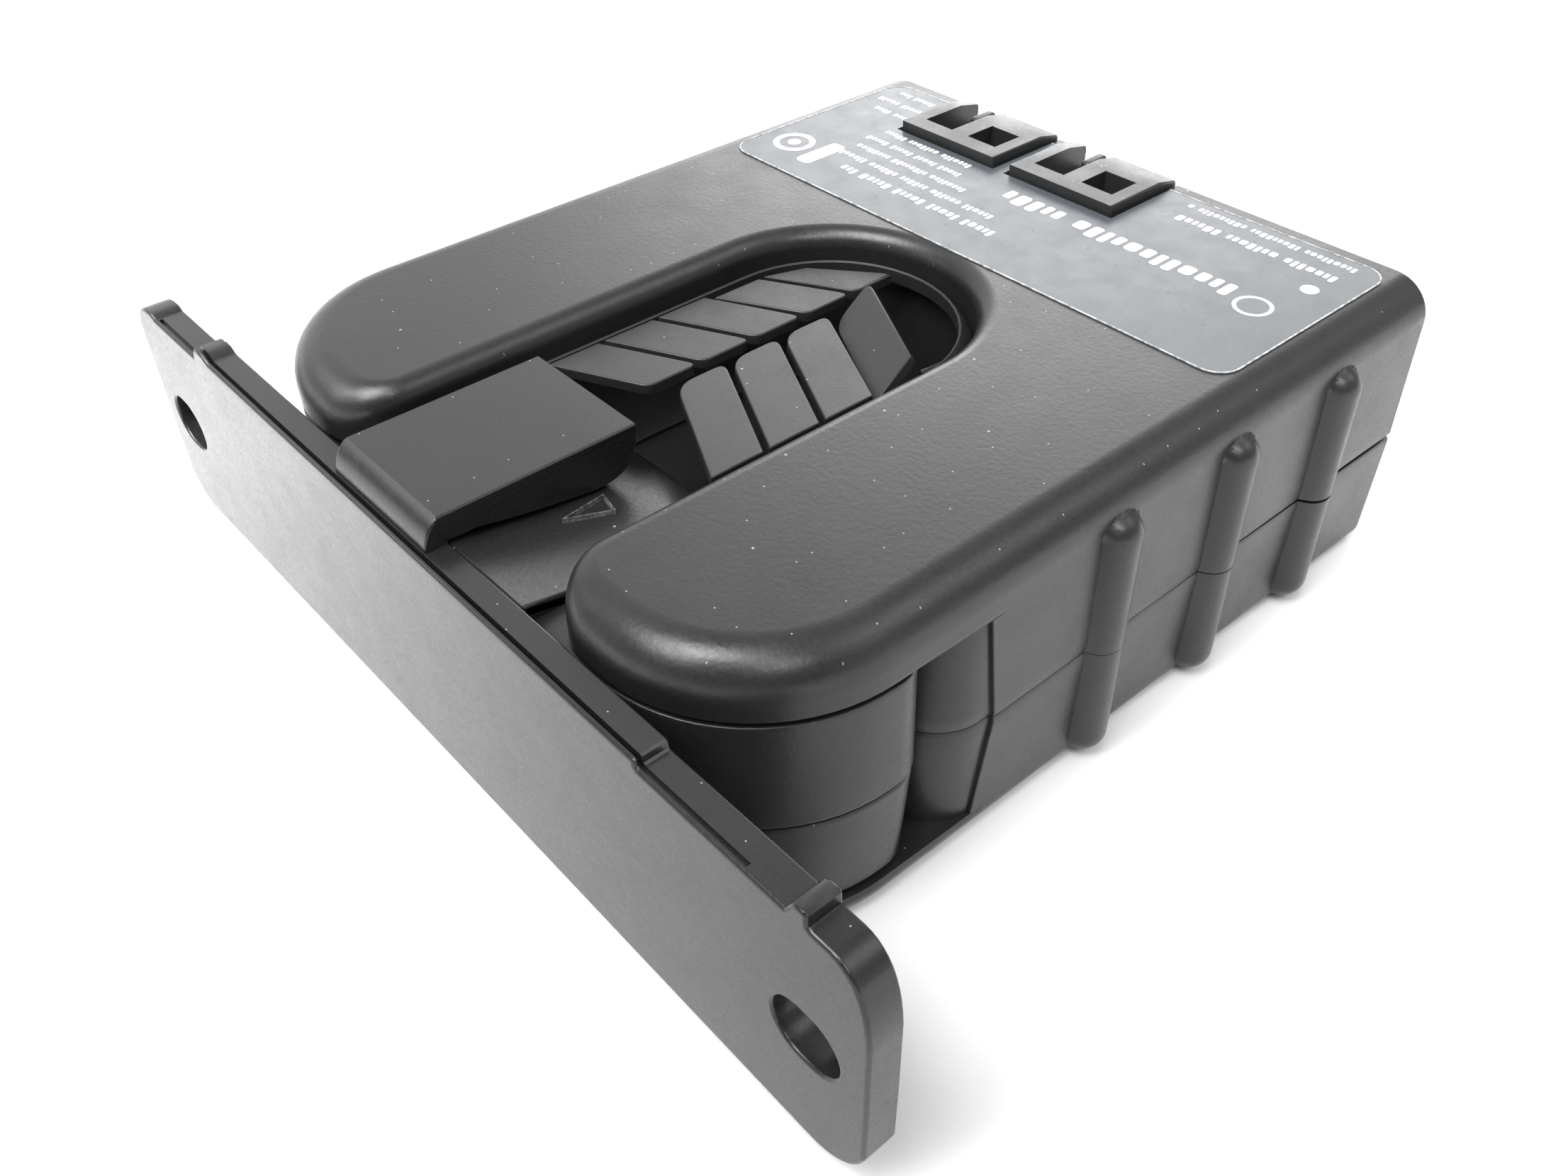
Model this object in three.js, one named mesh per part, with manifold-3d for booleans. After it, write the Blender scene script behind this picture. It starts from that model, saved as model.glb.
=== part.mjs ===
// Split-core current sensor with a clip-on mounting bracket.
// Millimetres. +X runs along the bracket, +Y from the bracket to the terminals, +Z up.
// Sizes below are measured from the bracket's front face; the exported group moves the
// origin to the middle of the footprint, on the surface that the sensor lies on.
import * as THREE from "three";
import { mergeVertices } from "three/addons/utils/BufferGeometryUtils.js";
import Module from "manifold-3d";

const wasm = await Module();
wasm.setup();

// ---------- driving dimensions ----------
const CURVE = 7; // straight steps in a quarter-like arc
const CLEAR = 0.3; // gap kept between pieces that slide, drop in or are cut to each other

const BODY = { half: 29.2, back: 71.2, height: 24, parting: 10.7, wall: 1.8 };
const FILLET = { top: 3, bottom: 1.6, steps: 4 };
const WINDOW = { half: 10.8, endY: 36.8 };
const ARM = { front: 2.9, outer: 12.2, inner: 5, coverUnder: 19.7, baseOver: 2 };
const LEG = { front: 19, outer: 4.5, inner: 1 };
const RIB = { radius: 1.9, inset: 0.5, low: 0.5, high: 21.7, ys: [35.1, 47.6, 60.1] };

const KEEPER = { back: 18.7, backCorner: 3, low: 2.3, high: 19.4 };
const CROWN = {
  half: 10.4, front: 21, bow: 19.8, mid: 18.9, midY: 14.2, heel: 19.05, bendY: 16.2,
  lip: 18.25, lipY: 18.6, edge: 17.9, shoulder: 15.7, back: 20.2,
};
const ARROW = { x: 3.75, y: 11.9, half: 1.05, length: 4.2, low: 18.4, high: 20 };

const CORE = { in: 14.6, out: 25, low: 5.5, high: 17.5, yokeFront: 52.4, back: 59.4 };
const KEEPER_CORE = { front: 8.2, back: 17.3, face: 18.5 };
const BOBBIN = { half: 13, flange: 1, wall: 0.8, winding: 1.4 };

const PLATE = { half: 42.8, low: 1.2, high: 20.9, thick: 2.4, corner: 3.4 };
const SLOT = { x: 38.1, z: 10.8, radius: 2.15, reach: 0.45 };
const RAIL = { in: 24.8, out: 36.8, peak: 38.3, drop: 0.6, rise: 0.5, ramp: 0.6 };
const BUMP = { start: -29.8, ramp: 0.6, length: 1.6 };
const TAB = {
  left: -9.6, right: 2.3, low: 20.4, nose: 21.3, middle: 20.5, top: 23.1, toe: 2,
  chamferY: 1.9, back: 17.2, heelY: 14.2,
};

const LABEL = { half: 26.1, front: 48.8, back: 70, corner: 2, low: 23.7, high: 24.1 };
const BLOCK = { xs: [-12.8, 0], half: 5.5, front: 62.5, low: 14.3, high: 24.9, pitch: 5.08 };
const SLOPE_LENGTH = 3; // stretch at the back of each block that slopes down to the case
const WELL = { half: 1.6, y: 65.8, floor: 15.6, mouth: 4.6 };
const SCREW = {
  head: 1.3, shaft: 0.75, top: 21.6, headLow: 20.4, tip: 18.2, slotHalf: 0.25, slotLow: 21,
};
const CLAMP = { half: 1.3, low: 15.9, high: 19.1, wall: 0.45, roof: 0.7, bore: 0.95 };
const CONTACT = { half: 0.6, thick: 0.4, over: 17.9, length: 2.4, pinY: 63.3, gap: 0.1, slotHigh: 18.5 };
const BOARD = { half: 25, front: 62.7, back: 69, low: 12.6, high: 14 };
const RELAY = { half: 11, low: 3.2, inset: 0.3 };
const CHIP = { left: 9, right: 15, inset: 1, high: 15.4 };
const CAPACITOR = { x: 21, radius: 2.8, high: 21 };

const IRIS = { frameOut: 10.65, frameIn: 9.65, frameFront: 17.4, low: 20.9, high: 22.15 };
const FINGER = { root: 9.35, first: 17.7, pitch: 5, width: 4.6, slope: 0.5, corner: 1.2, endGap: 0.6 };
// How far each side's tips stop short of the middle. The right-hand ones reach past it.
const TIP = { left: 2.1, right: -0.9 };
const FINGER_Z = { low: 21.2, high: 22.1 };
const FINGERS = 5;

// ---------- solids ----------
function solid(geometry) {
  const bare = geometry.index ? geometry.toNonIndexed() : geometry;
  bare.deleteAttribute("normal");
  bare.deleteAttribute("uv");
  const merged = mergeVertices(bare, 1e-4);
  return new wasm.Manifold(
    new wasm.Mesh({
      numProp: 3,
      vertProperties: merged.getAttribute("position").array,
      triVerts: new Uint32Array(merged.index.array),
    }),
  );
}

const box = (x0, x1, y0, y1, z0, z1) =>
  solid(
    new THREE.BoxGeometry(x1 - x0, y1 - y0, z1 - z0).translate(
      (x0 + x1) / 2,
      (y0 + y1) / 2,
      (z0 + z1) / 2,
    ),
  );

// A plan outline raised from z0 to z1, with both rims rounded when fillet is given.
const prism = (shape, z0, z1, fillet = 0) =>
  solid(
    new THREE.ExtrudeGeometry(shape, {
      depth: z1 - z0 - 2 * fillet,
      curveSegments: CURVE,
      bevelEnabled: fillet > 0,
      bevelThickness: fillet,
      bevelSize: fillet,
      bevelOffset: -fillet,
      bevelSegments: FILLET.steps,
    }).translate(0, 0, z0 + fillet),
  );

const cylinder = (x, y, z0, z1, radius, sides = 16) =>
  solid(
    new THREE.CylinderGeometry(radius, radius, z1 - z0, sides)
      .rotateX(Math.PI / 2)
      .translate(x, y, (z0 + z1) / 2),
  );

// A profile drawn in Y and Z, drawn out along X.
function alongX(shape, x0, x1) {
  const turn = new THREE.Matrix4().makeBasis(
    new THREE.Vector3(0, 1, 0),
    new THREE.Vector3(0, 0, 1),
    new THREE.Vector3(1, 0, 0),
  );
  const bar = new THREE.ExtrudeGeometry(shape, {
    depth: x1 - x0,
    curveSegments: CURVE,
    bevelEnabled: false,
  });
  return solid(bar.applyMatrix4(turn.setPosition(x0, 0, 0)));
}

// A profile drawn in X and Z, drawn out along Y.
function alongY(shape, y0, y1) {
  const turn = new THREE.Matrix4().makeBasis(
    new THREE.Vector3(1, 0, 0),
    new THREE.Vector3(0, 0, 1),
    new THREE.Vector3(0, -1, 0),
  );
  const slab = new THREE.ExtrudeGeometry(shape, {
    depth: y1 - y0,
    curveSegments: CURVE,
    bevelEnabled: false,
  });
  return solid(slab.applyMatrix4(turn.setPosition(0, y1, 0)));
}

const polygon = (points) => new THREE.Shape(points.map(([x, y]) => new THREE.Vector2(x, y)));

// ---------- outlines ----------
// The U that the body has in plan: two arms round a window with a half-round end.
function uShape(half, windowHalf, front, back, outer, inner) {
  const s = new THREE.Shape();
  s.moveTo(-half, back);
  s.lineTo(-half, front + outer);
  s.absarc(-half + outer, front + outer, outer, Math.PI, 1.5 * Math.PI);
  s.absarc(-windowHalf - inner, front + inner, inner, 1.5 * Math.PI, 2 * Math.PI);
  s.absarc(0, WINDOW.endY, windowHalf, Math.PI, 0, true);
  s.absarc(windowHalf + inner, front + inner, inner, Math.PI, 1.5 * Math.PI);
  s.absarc(half - outer, front + outer, outer, 1.5 * Math.PI, 2 * Math.PI);
  s.lineTo(half, back);
  return s;
}

// A rectangle in plan, with its own radius for the front and the back corners.
function roundedRect(half, front, back, frontRadius, backRadius) {
  const s = new THREE.Shape();
  s.absarc(-half + frontRadius, front + frontRadius, frontRadius, Math.PI, 1.5 * Math.PI);
  s.absarc(half - frontRadius, front + frontRadius, frontRadius, 1.5 * Math.PI, 2 * Math.PI);
  s.absarc(half - backRadius, back - backRadius, backRadius, 0, 0.5 * Math.PI);
  s.absarc(-half + backRadius, back - backRadius, backRadius, 0.5 * Math.PI, Math.PI);
  return s;
}

// ---------- body shells ----------
const ARMS = uShape(
  BODY.half, WINDOW.half, ARM.front, BODY.back + 2 * FILLET.top, ARM.outer, ARM.inner);
const LEGS = uShape(BODY.half, WINDOW.half, LEG.front, BODY.back, LEG.outer, LEG.inner);
const HOLLOW = uShape(
  BODY.half - BODY.wall, WINDOW.half + BODY.wall, LEG.front + BODY.wall,
  BODY.back - BODY.wall, LEG.outer - BODY.wall, LEG.inner);

const FAR = 200;
const below = (z) => box(-FAR, FAR, -FAR, FAR, -FAR, z);
const above = (z) => box(-FAR, FAR, -FAR, FAR, z, FAR);
const behind = box(-FAR, FAR, BODY.back, FAR, -FAR, FAR);

function ribs() {
  const straight = RIB.high - RIB.low - 2 * RIB.radius;
  return [-1, 1].flatMap((side) =>
    RIB.ys.map((y) =>
      solid(
        new THREE.CapsuleGeometry(RIB.radius, straight, 3, 12)
          .rotateX(Math.PI / 2)
          .translate(side * (BODY.half - RIB.inset), y, (RIB.low + RIB.high) / 2),
      ),
    ),
  );
}

// Openings in the front wall of each leg, where the core's pole faces come out.
const poleHoles = (y0, y1, gap) =>
  [-1, 1].map((side) => {
    const xs = [side * (CORE.in - gap), side * (CORE.out + gap)].sort((a, b) => a - b);
    return box(xs[0], xs[1], y0, y1, CORE.low - gap, CORE.high + gap);
  });

const joined = (first, ...others) => others.reduce((sum, next) => sum.add(next), first);
const cut = (from, ...tools) => tools.reduce((rest, tool) => rest.subtract(tool), from);

const blockCutouts = BLOCK.xs.map((x) =>
  box(x - BLOCK.half - CLEAR, x + BLOCK.half + CLEAR, BLOCK.front - CLEAR, FAR,
    BLOCK.low - CLEAR, FAR));

function topCover() {
  const arms = prism(ARMS, ARM.coverUnder - 2 * FILLET.top, BODY.height, FILLET.top)
    .subtract(below(ARM.coverUnder));
  const legs = prism(LEGS, BODY.parting, ARM.coverUnder + 0.5);
  const hollow = prism(HOLLOW, BODY.parting - 1, BODY.height - BODY.wall);
  const pocket = prism(
    roundedRect(LABEL.half + CLEAR, LABEL.front - CLEAR, LABEL.back + CLEAR,
      LABEL.corner, LABEL.corner),
    LABEL.low - CLEAR, BODY.height + 1);
  const upperRibs = ribs().map((rib) => rib.subtract(below(BODY.parting)));
  const solidBody = joined(arms.subtract(behind), legs, ...upperRibs);
  return cut(solidBody, hollow, pocket, ...poleHoles(LEG.front - 1, LEG.front + 3, CLEAR),
    ...blockCutouts);
}

function bottomCase() {
  const arms = prism(ARMS, 0, ARM.baseOver + 2 * FILLET.bottom, FILLET.bottom)
    .subtract(above(ARM.baseOver));
  const legs = prism(LEGS, ARM.baseOver - 0.2, BODY.parting);
  const hollow = prism(HOLLOW, BODY.wall, BODY.parting + 1);
  const lowerRibs = ribs().map((rib) => rib.subtract(above(BODY.parting)));
  const solidBody = joined(arms.subtract(behind), legs, ...lowerRibs);
  return cut(solidBody, hollow, ...poleHoles(LEG.front - 1, LEG.front + 3, CLEAR));
}

function labelPlate() {
  const sheet = prism(
    roundedRect(LABEL.half, LABEL.front, LABEL.back, LABEL.corner, LABEL.corner),
    LABEL.low, LABEL.high);
  const notch = box(BLOCK.xs[0] - BLOCK.half - 2 * CLEAR, BLOCK.xs[1] + BLOCK.half + 2 * CLEAR,
    BLOCK.front - 2 * CLEAR, FAR, 0, FAR);
  return sheet.subtract(notch);
}

// ---------- keeper that closes the front of the window ----------
function keeperBlock() {
  const ends = prism(
    roundedRect(BODY.half, ARM.front, KEEPER.back, ARM.outer, KEEPER.backCorner),
    KEEPER.low, KEEPER.high);
  const profile = new THREE.Shape();
  profile.moveTo(ARM.front, KEEPER.low);
  profile.lineTo(CROWN.back, KEEPER.low);
  profile.lineTo(CROWN.back, CROWN.shoulder);
  profile.quadraticCurveTo(CROWN.back, CROWN.edge, CROWN.lipY, CROWN.lip);
  profile.quadraticCurveTo(CROWN.bendY, CROWN.mid, CROWN.midY, CROWN.heel);
  profile.quadraticCurveTo((ARM.front + CROWN.midY) / 2, CROWN.bow, ARM.front, CROWN.front);
  const crown = alongX(profile, -CROWN.half, CROWN.half);
  const saddle = box(-CROWN.half, CROWN.half, -FAR, FAR, CORE.high, FAR);
  const hollow = box(-CORE.out - CLEAR, CORE.out + CLEAR, KEEPER_CORE.front - CLEAR,
    KEEPER_CORE.back + CLEAR, CORE.low - CLEAR, CORE.high + CLEAR);
  return cut(ends.subtract(saddle).add(crown), hollow,
    ...poleHoles(KEEPER_CORE.back, KEEPER.back + 1, CLEAR));
}

function arrowMark() {
  const { x, y, half, length, low, high } = ARROW;
  const mark = polygon([[x - half, y + length / 2], [x, y - length / 2], [x + half, y + length / 2]]);
  return prism(mark, low, high);
}

const keeperUpperShell = () => keeperBlock().subtract(below(BODY.parting)).add(arrowMark());
const keeperLowerShell = () => keeperBlock().subtract(above(BODY.parting));

function keeperCore() {
  const bar = box(-CORE.out, CORE.out, KEEPER_CORE.front, KEEPER_CORE.back, CORE.low, CORE.high);
  return joined(bar, ...poleHoles(KEEPER_CORE.back - 1, KEEPER_CORE.face, 0));
}

// ---------- mounting bracket ----------
function bracketOutline() {
  const { half, low, high, corner } = PLATE;
  const s = new THREE.Shape();
  s.absarc(-half + corner, low + corner, corner, Math.PI, 1.5 * Math.PI);
  s.absarc(half - corner, low + corner, corner, 1.5 * Math.PI, 2 * Math.PI);
  s.absarc(half - corner, high - RAIL.drop - corner, corner, 0, 0.5 * Math.PI);
  s.lineTo(RAIL.peak, high - RAIL.drop);
  s.lineTo(RAIL.peak, high + RAIL.rise);
  s.lineTo(RAIL.out + RAIL.ramp, high + RAIL.rise);
  s.lineTo(RAIL.out, high - RAIL.drop);
  s.lineTo(RAIL.in, high - RAIL.drop);
  s.lineTo(RAIL.in, high);
  s.lineTo(BUMP.start, high);
  s.lineTo(BUMP.start - BUMP.ramp, high + RAIL.rise);
  s.lineTo(BUMP.start - BUMP.length, high + RAIL.rise);
  s.lineTo(BUMP.start - BUMP.length, high - RAIL.drop);
  s.absarc(-half + corner, high - RAIL.drop - corner, corner, 0.5 * Math.PI, Math.PI);
  for (const side of [-1, 1]) {
    const hole = new THREE.Path();
    const [x0, x1] = [side * SLOT.x - SLOT.reach, side * SLOT.x + SLOT.reach];
    hole.absarc(x0, SLOT.z, SLOT.radius, 0.5 * Math.PI, 1.5 * Math.PI);
    hole.absarc(x1, SLOT.z, SLOT.radius, 1.5 * Math.PI, 2.5 * Math.PI);
    s.holes.push(hole);
  }
  return s;
}

// The hook's underside follows the crown, CLEAR above it, and turns up at the heel.
function mountingBracket() {
  const heel = CROWN.heel + CLEAR;
  const hook = polygon([
    [0, TAB.low],
    [PLATE.thick, TAB.low],
    [PLATE.thick, CROWN.front + CLEAR],
    [ARM.front, CROWN.front + CLEAR],
    [(ARM.front + TAB.heelY) / 2, TAB.middle],
    [TAB.heelY, heel],
    [TAB.back, heel + TAB.toe],
    [TAB.back, TAB.top],
    [TAB.chamferY, TAB.top],
    [0, TAB.nose],
  ]);
  return alongY(bracketOutline(), 0, PLATE.thick).add(alongX(hook, TAB.left, TAB.right));
}

// ---------- magnetic core and coil ----------
function fixedCore() {
  const yoke = box(-CORE.out, CORE.out, CORE.yokeFront, CORE.back, CORE.low, CORE.high);
  return joined(yoke, ...poleHoles(LEG.front + 0.1, CORE.back, 0));
}

// A rectangular sleeve round the yoke, grown by inner and outer from the yoke's faces.
function sleeve(x0, x1, inner, outer) {
  const ring = (grow, a, b) =>
    box(a, b, CORE.yokeFront - grow, CORE.back + grow, CORE.low - grow, CORE.high + grow);
  return ring(outer, x0, x1).subtract(ring(inner, x0 - 1, x1 + 1));
}

function coilBobbin() {
  const { half, flange, wall, winding } = BOBBIN;
  const rim = wall + CLEAR + winding + 0.3;
  return joined(
    sleeve(-half, half, CLEAR, CLEAR + wall),
    sleeve(-half, -half + flange, CLEAR, rim),
    sleeve(half - flange, half, CLEAR, rim),
  );
}

function coilWinding() {
  const { half, flange, wall, winding } = BOBBIN;
  const base = CLEAR + wall + 0.05;
  return sleeve(-half + flange + 0.1, half - flange - 0.1, base, base + winding - 0.1);
}

// ---------- terminals and circuit board ----------
const ways = BLOCK.xs.flatMap((x) => [x - BLOCK.pitch / 2, x + BLOCK.pitch / 2]);

function terminalBlock(x) {
  const shell = box(x - BLOCK.half, x + BLOCK.half, BLOCK.front, BODY.back, BLOCK.low, BLOCK.high);
  const slope = polygon([
    [BODY.back - SLOPE_LENGTH, BLOCK.high + 1],
    [BODY.back - SLOPE_LENGTH, BLOCK.high],
    [BODY.back, BODY.height],
    [BODY.back + 1, BODY.height],
    [BODY.back + 1, BLOCK.high + 1],
  ]);
  const tools = [-0.5, 0.5].flatMap((k) => {
    const wx = x + k * BLOCK.pitch;
    const { half, y, floor, mouth } = WELL;
    return [
      box(wx - half, wx + half, y - half, y + half, floor, FAR),
      box(wx - half, wx + half, y, FAR, floor, floor + mouth),
      box(wx - CONTACT.half - CONTACT.gap, wx + CONTACT.half + CONTACT.gap,
        CONTACT.pinY - 2 * CONTACT.gap, y - half + 2 * CONTACT.gap, 0, CONTACT.slotHigh),
    ];
  });
  return cut(shell, alongX(slope, x - BLOCK.half - 1, x + BLOCK.half + 1), ...tools);
}

// Slotted screw whose thread runs through the top of the rising clamp.
function terminalScrew(x) {
  return cut(
    joined(
      cylinder(x, WELL.y, SCREW.headLow, SCREW.top, SCREW.head),
      cylinder(x, WELL.y, SCREW.tip, SCREW.headLow + 0.2, SCREW.shaft, 12),
    ),
    box(x - SCREW.slotHalf, x + SCREW.slotHalf, -FAR, FAR, SCREW.slotLow, FAR),
  );
}

// Box clamp with an opening for the wire and a threaded top.
function wireClamp(x) {
  const { half, low, high, wall, roof, bore } = CLAMP;
  return cut(
    box(x - half, x + half, WELL.y - half, WELL.y + half, low, high),
    box(x - half + wall, x + half - wall, -FAR, FAR, low + wall, high - roof),
    cylinder(x, WELL.y, low + 1, high + 1, bore, 12),
  );
}

// Bent strip: a tongue inside the clamp and a pin down to the board.
function terminalContact(x) {
  const { half, thick, over, length, pinY, gap } = CONTACT;
  return joined(
    box(x - half, x + half, pinY, WELL.y + length / 2, over - thick, over),
    box(x - half, x + half, pinY, pinY + thick, BOARD.high + gap, over),
  );
}

const circuitBoard = () =>
  box(-BOARD.half, BOARD.half, BOARD.front, BOARD.back, BOARD.low, BOARD.high);
const relay = () =>
  box(-RELAY.half, RELAY.half, BOARD.front, BOARD.back - RELAY.inset, RELAY.low, BOARD.low);
const controllerChip = () =>
  box(CHIP.left, CHIP.right, BOARD.front + CHIP.inset, BOARD.back - CHIP.inset,
    BOARD.high, CHIP.high);
const capacitor = () =>
  cylinder(CAPACITOR.x, (BOARD.front + BOARD.back) / 2, BOARD.high, CAPACITOR.high,
    CAPACITOR.radius, 20);

// ---------- self-gripping iris ----------
// Area inside the frame that a finger may fill. The pairs at the curved end stay further from it.
const fingerArea = (number) =>
  prism(slotBand(FINGER.root - (number >= FINGERS - 1 ? FINGER.endGap : 0), IRIS.frameFront),
    0, BODY.height);

// Straight-sided slot with a half-round end, from front to the window's closed end.
function slotBand(half, front) {
  const s = new THREE.Shape();
  s.moveTo(half, front);
  s.lineTo(half, WINDOW.endY);
  s.absarc(0, WINDOW.endY, half, 0, Math.PI);
  s.lineTo(-half, front);
  return s;
}

const irisFrame = () =>
  prism(slotBand(IRIS.frameOut, IRIS.frameFront), IRIS.low, IRIS.high).subtract(
    prism(slotBand(IRIS.frameIn, IRIS.frameFront - 1), IRIS.low - 1, IRIS.high + 1),
  );

// A slanted flat finger, drawn for the right-hand side.
function fingerPlan(y, tip) {
  const { root, width, slope, corner } = FINGER;
  const end = y + slope * (root - tip);
  const before = end - slope * corner;
  const s = new THREE.Shape();
  s.moveTo(root, y);
  s.lineTo(root, y + width);
  s.lineTo(tip + corner, before + width);
  s.quadraticCurveTo(tip, end + width, tip, end + width - corner);
  s.lineTo(tip, end + corner);
  s.quadraticCurveTo(tip, end, tip + corner, before);
  return s;
}

// Fingers pushed out of line: turn is about the long axis, drop about the root.
const BENT = { right_4: { turn: 34, drop: 0 }, right_5: { turn: 0, drop: 50 } };

function irisFinger(side, number) {
  const y = FINGER.first + (number - 1) * FINGER.pitch;
  let finger = prism(fingerPlan(y, TIP[side]), FINGER_Z.low, FINGER_Z.high)
    .intersect(fingerArea(number));
  const bend = BENT[side + "_" + number];
  if (bend) finger = solid(bendFinger(geometryOf(finger), y, bend));
  return side === "left" ? finger.scale([-1, 1, 1]) : finger;
}

function bendFinger(geometry, y, { turn, drop }) {
  const root = new THREE.Vector3(
    FINGER.root, y + FINGER.width / 2, (FINGER_Z.low + FINGER_Z.high) / 2);
  const along = new THREE.Vector3(-1, FINGER.slope, 0).normalize();
  const turned = new THREE.Matrix4().makeRotationAxis(along, -THREE.MathUtils.degToRad(turn));
  const dropped = new THREE.Matrix4().makeRotationY(-THREE.MathUtils.degToRad(drop));
  return geometry
    .toNonIndexed()
    .translate(-root.x, -root.y, -root.z)
    .applyMatrix4(turned)
    .applyMatrix4(dropped)
    .translate(root.x, root.y, root.z);
}

// ---------- scene graph ----------
const PLASTIC = { color: 0x2c2e31, roughness: 0.55, metalness: 0 };
const FINGER_PLASTIC = { color: 0x303236, roughness: 0.5, metalness: 0 };
const LABEL_FILM = { color: 0x6f777e, roughness: 0.45, metalness: 0 };
const TERMINAL_PLASTIC = { color: 0x26272a, roughness: 0.5, metalness: 0 };
const PLATED_STEEL = { color: 0xb9bbbd, roughness: 0.35, metalness: 1 };
const TINNED_BRASS = { color: 0xc9b77a, roughness: 0.35, metalness: 1 };
const CORE_STEEL = { color: 0x6c7076, roughness: 0.5, metalness: 1 };
const BOBBIN_PLASTIC = { color: 0xd9d5c8, roughness: 0.6, metalness: 0 };
const COPPER = { color: 0xb5703c, roughness: 0.4, metalness: 1 };
const BOARD_GREEN = { color: 0x1f5a34, roughness: 0.6, metalness: 0 };
const RELAY_CASE = { color: 0x1d3f73, roughness: 0.4, metalness: 0 };
const CHIP_BLACK = { color: 0x1a1a1c, roughness: 0.6, metalness: 0 };

function geometryOf(made) {
  const { vertProperties, triVerts } = made.getMesh();
  const geometry = new THREE.BufferGeometry();
  geometry.setAttribute("position", new THREE.BufferAttribute(vertProperties, 3));
  geometry.setIndex(new THREE.BufferAttribute(triVerts, 1));
  return geometry;
}

const group = new THREE.Group();
group.position.set(0, -BODY.back / 2, 0);

function piece(name, made, look, parent = group) {
  const mesh = new THREE.Mesh(geometryOf(made), new THREE.MeshStandardMaterial(look));
  mesh.name = name;
  mesh.geometry.computeVertexNormals();
  parent.add(mesh);
}

piece("top_cover", topCover(), PLASTIC);
piece("bottom_case", bottomCase(), PLASTIC);
piece("label_plate", labelPlate(), LABEL_FILM);

const keeper = new THREE.Group();
group.add(keeper);
piece("keeper_upper_shell", keeperUpperShell(), PLASTIC, keeper);
piece("keeper_lower_shell", keeperLowerShell(), PLASTIC, keeper);
piece("keeper_core", keeperCore(), CORE_STEEL, keeper);
piece("mounting_bracket", mountingBracket(), PLASTIC, keeper);

piece("fixed_core", fixedCore(), CORE_STEEL);
piece("coil_bobbin", coilBobbin(), BOBBIN_PLASTIC);
piece("coil_winding", coilWinding(), COPPER);

piece("circuit_board", circuitBoard(), BOARD_GREEN);
piece("relay", relay(), RELAY_CASE);
piece("controller_chip", controllerChip(), CHIP_BLACK);
piece("capacitor", capacitor(), RELAY_CASE);

["left", "right"].forEach((side, i) =>
  piece("terminal_block_" + side, terminalBlock(BLOCK.xs[i]), TERMINAL_PLASTIC));
ways.forEach((x, i) => {
  piece("terminal_screw_" + (i + 1), terminalScrew(x), PLATED_STEEL);
  piece("wire_clamp_" + (i + 1), wireClamp(x), PLATED_STEEL);
  piece("terminal_contact_" + (i + 1), terminalContact(x), TINNED_BRASS);
});

const iris = new THREE.Group();
group.add(iris);
piece("iris_frame", irisFrame(), FINGER_PLASTIC, iris);
for (const side of ["left", "right"])
  for (let n = 1; n <= FINGERS; n++)
    piece(`iris_finger_${side}_${n}`, irisFinger(side, n), FINGER_PLASTIC, iris);

export default group;
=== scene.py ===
import math

import bmesh
import bpy
from mathutils import Matrix, Vector


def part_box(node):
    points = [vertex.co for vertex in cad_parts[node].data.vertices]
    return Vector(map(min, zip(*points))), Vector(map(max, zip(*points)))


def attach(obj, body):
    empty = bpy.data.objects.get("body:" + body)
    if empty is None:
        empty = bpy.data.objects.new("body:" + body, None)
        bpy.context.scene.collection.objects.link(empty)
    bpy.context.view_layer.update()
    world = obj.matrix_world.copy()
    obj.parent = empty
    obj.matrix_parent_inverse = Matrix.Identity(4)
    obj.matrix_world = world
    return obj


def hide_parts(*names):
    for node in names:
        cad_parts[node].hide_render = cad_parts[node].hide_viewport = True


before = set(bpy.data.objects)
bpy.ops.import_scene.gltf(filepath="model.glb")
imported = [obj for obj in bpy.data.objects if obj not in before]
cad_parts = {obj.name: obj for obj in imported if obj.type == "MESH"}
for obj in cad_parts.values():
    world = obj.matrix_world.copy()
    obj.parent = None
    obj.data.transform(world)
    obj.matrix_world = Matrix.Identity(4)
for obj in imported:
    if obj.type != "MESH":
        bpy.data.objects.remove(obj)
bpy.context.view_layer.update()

MM = 0.001
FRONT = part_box("mounting_bracket")[0].y


def corners(node):
    """A CAD node's lowest and highest corners, in this script's millimetres."""
    return [Vector((p.x / MM, (p.y - FRONT) / MM, p.z / MM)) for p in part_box(node)]


def to_frame(x, y, z):
    """A point in this script's millimetres, as a place in the frame in metres."""
    return Vector((x * MM, FRONT + y * MM, z * MM))


# ---------- driving dimensions, from the frame where a node has them ----------
COVER_LOW, COVER_HIGH = corners("top_cover")
KEEPER_LOW, KEEPER_HIGH = corners("keeper_lower_shell")
PLATE_LOW, PLATE_HIGH = corners("mounting_bracket")
LABEL_LOW, LABEL_HIGH = corners("label_plate")
FRAME_LOW, FRAME_HIGH = corners("iris_frame")

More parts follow.
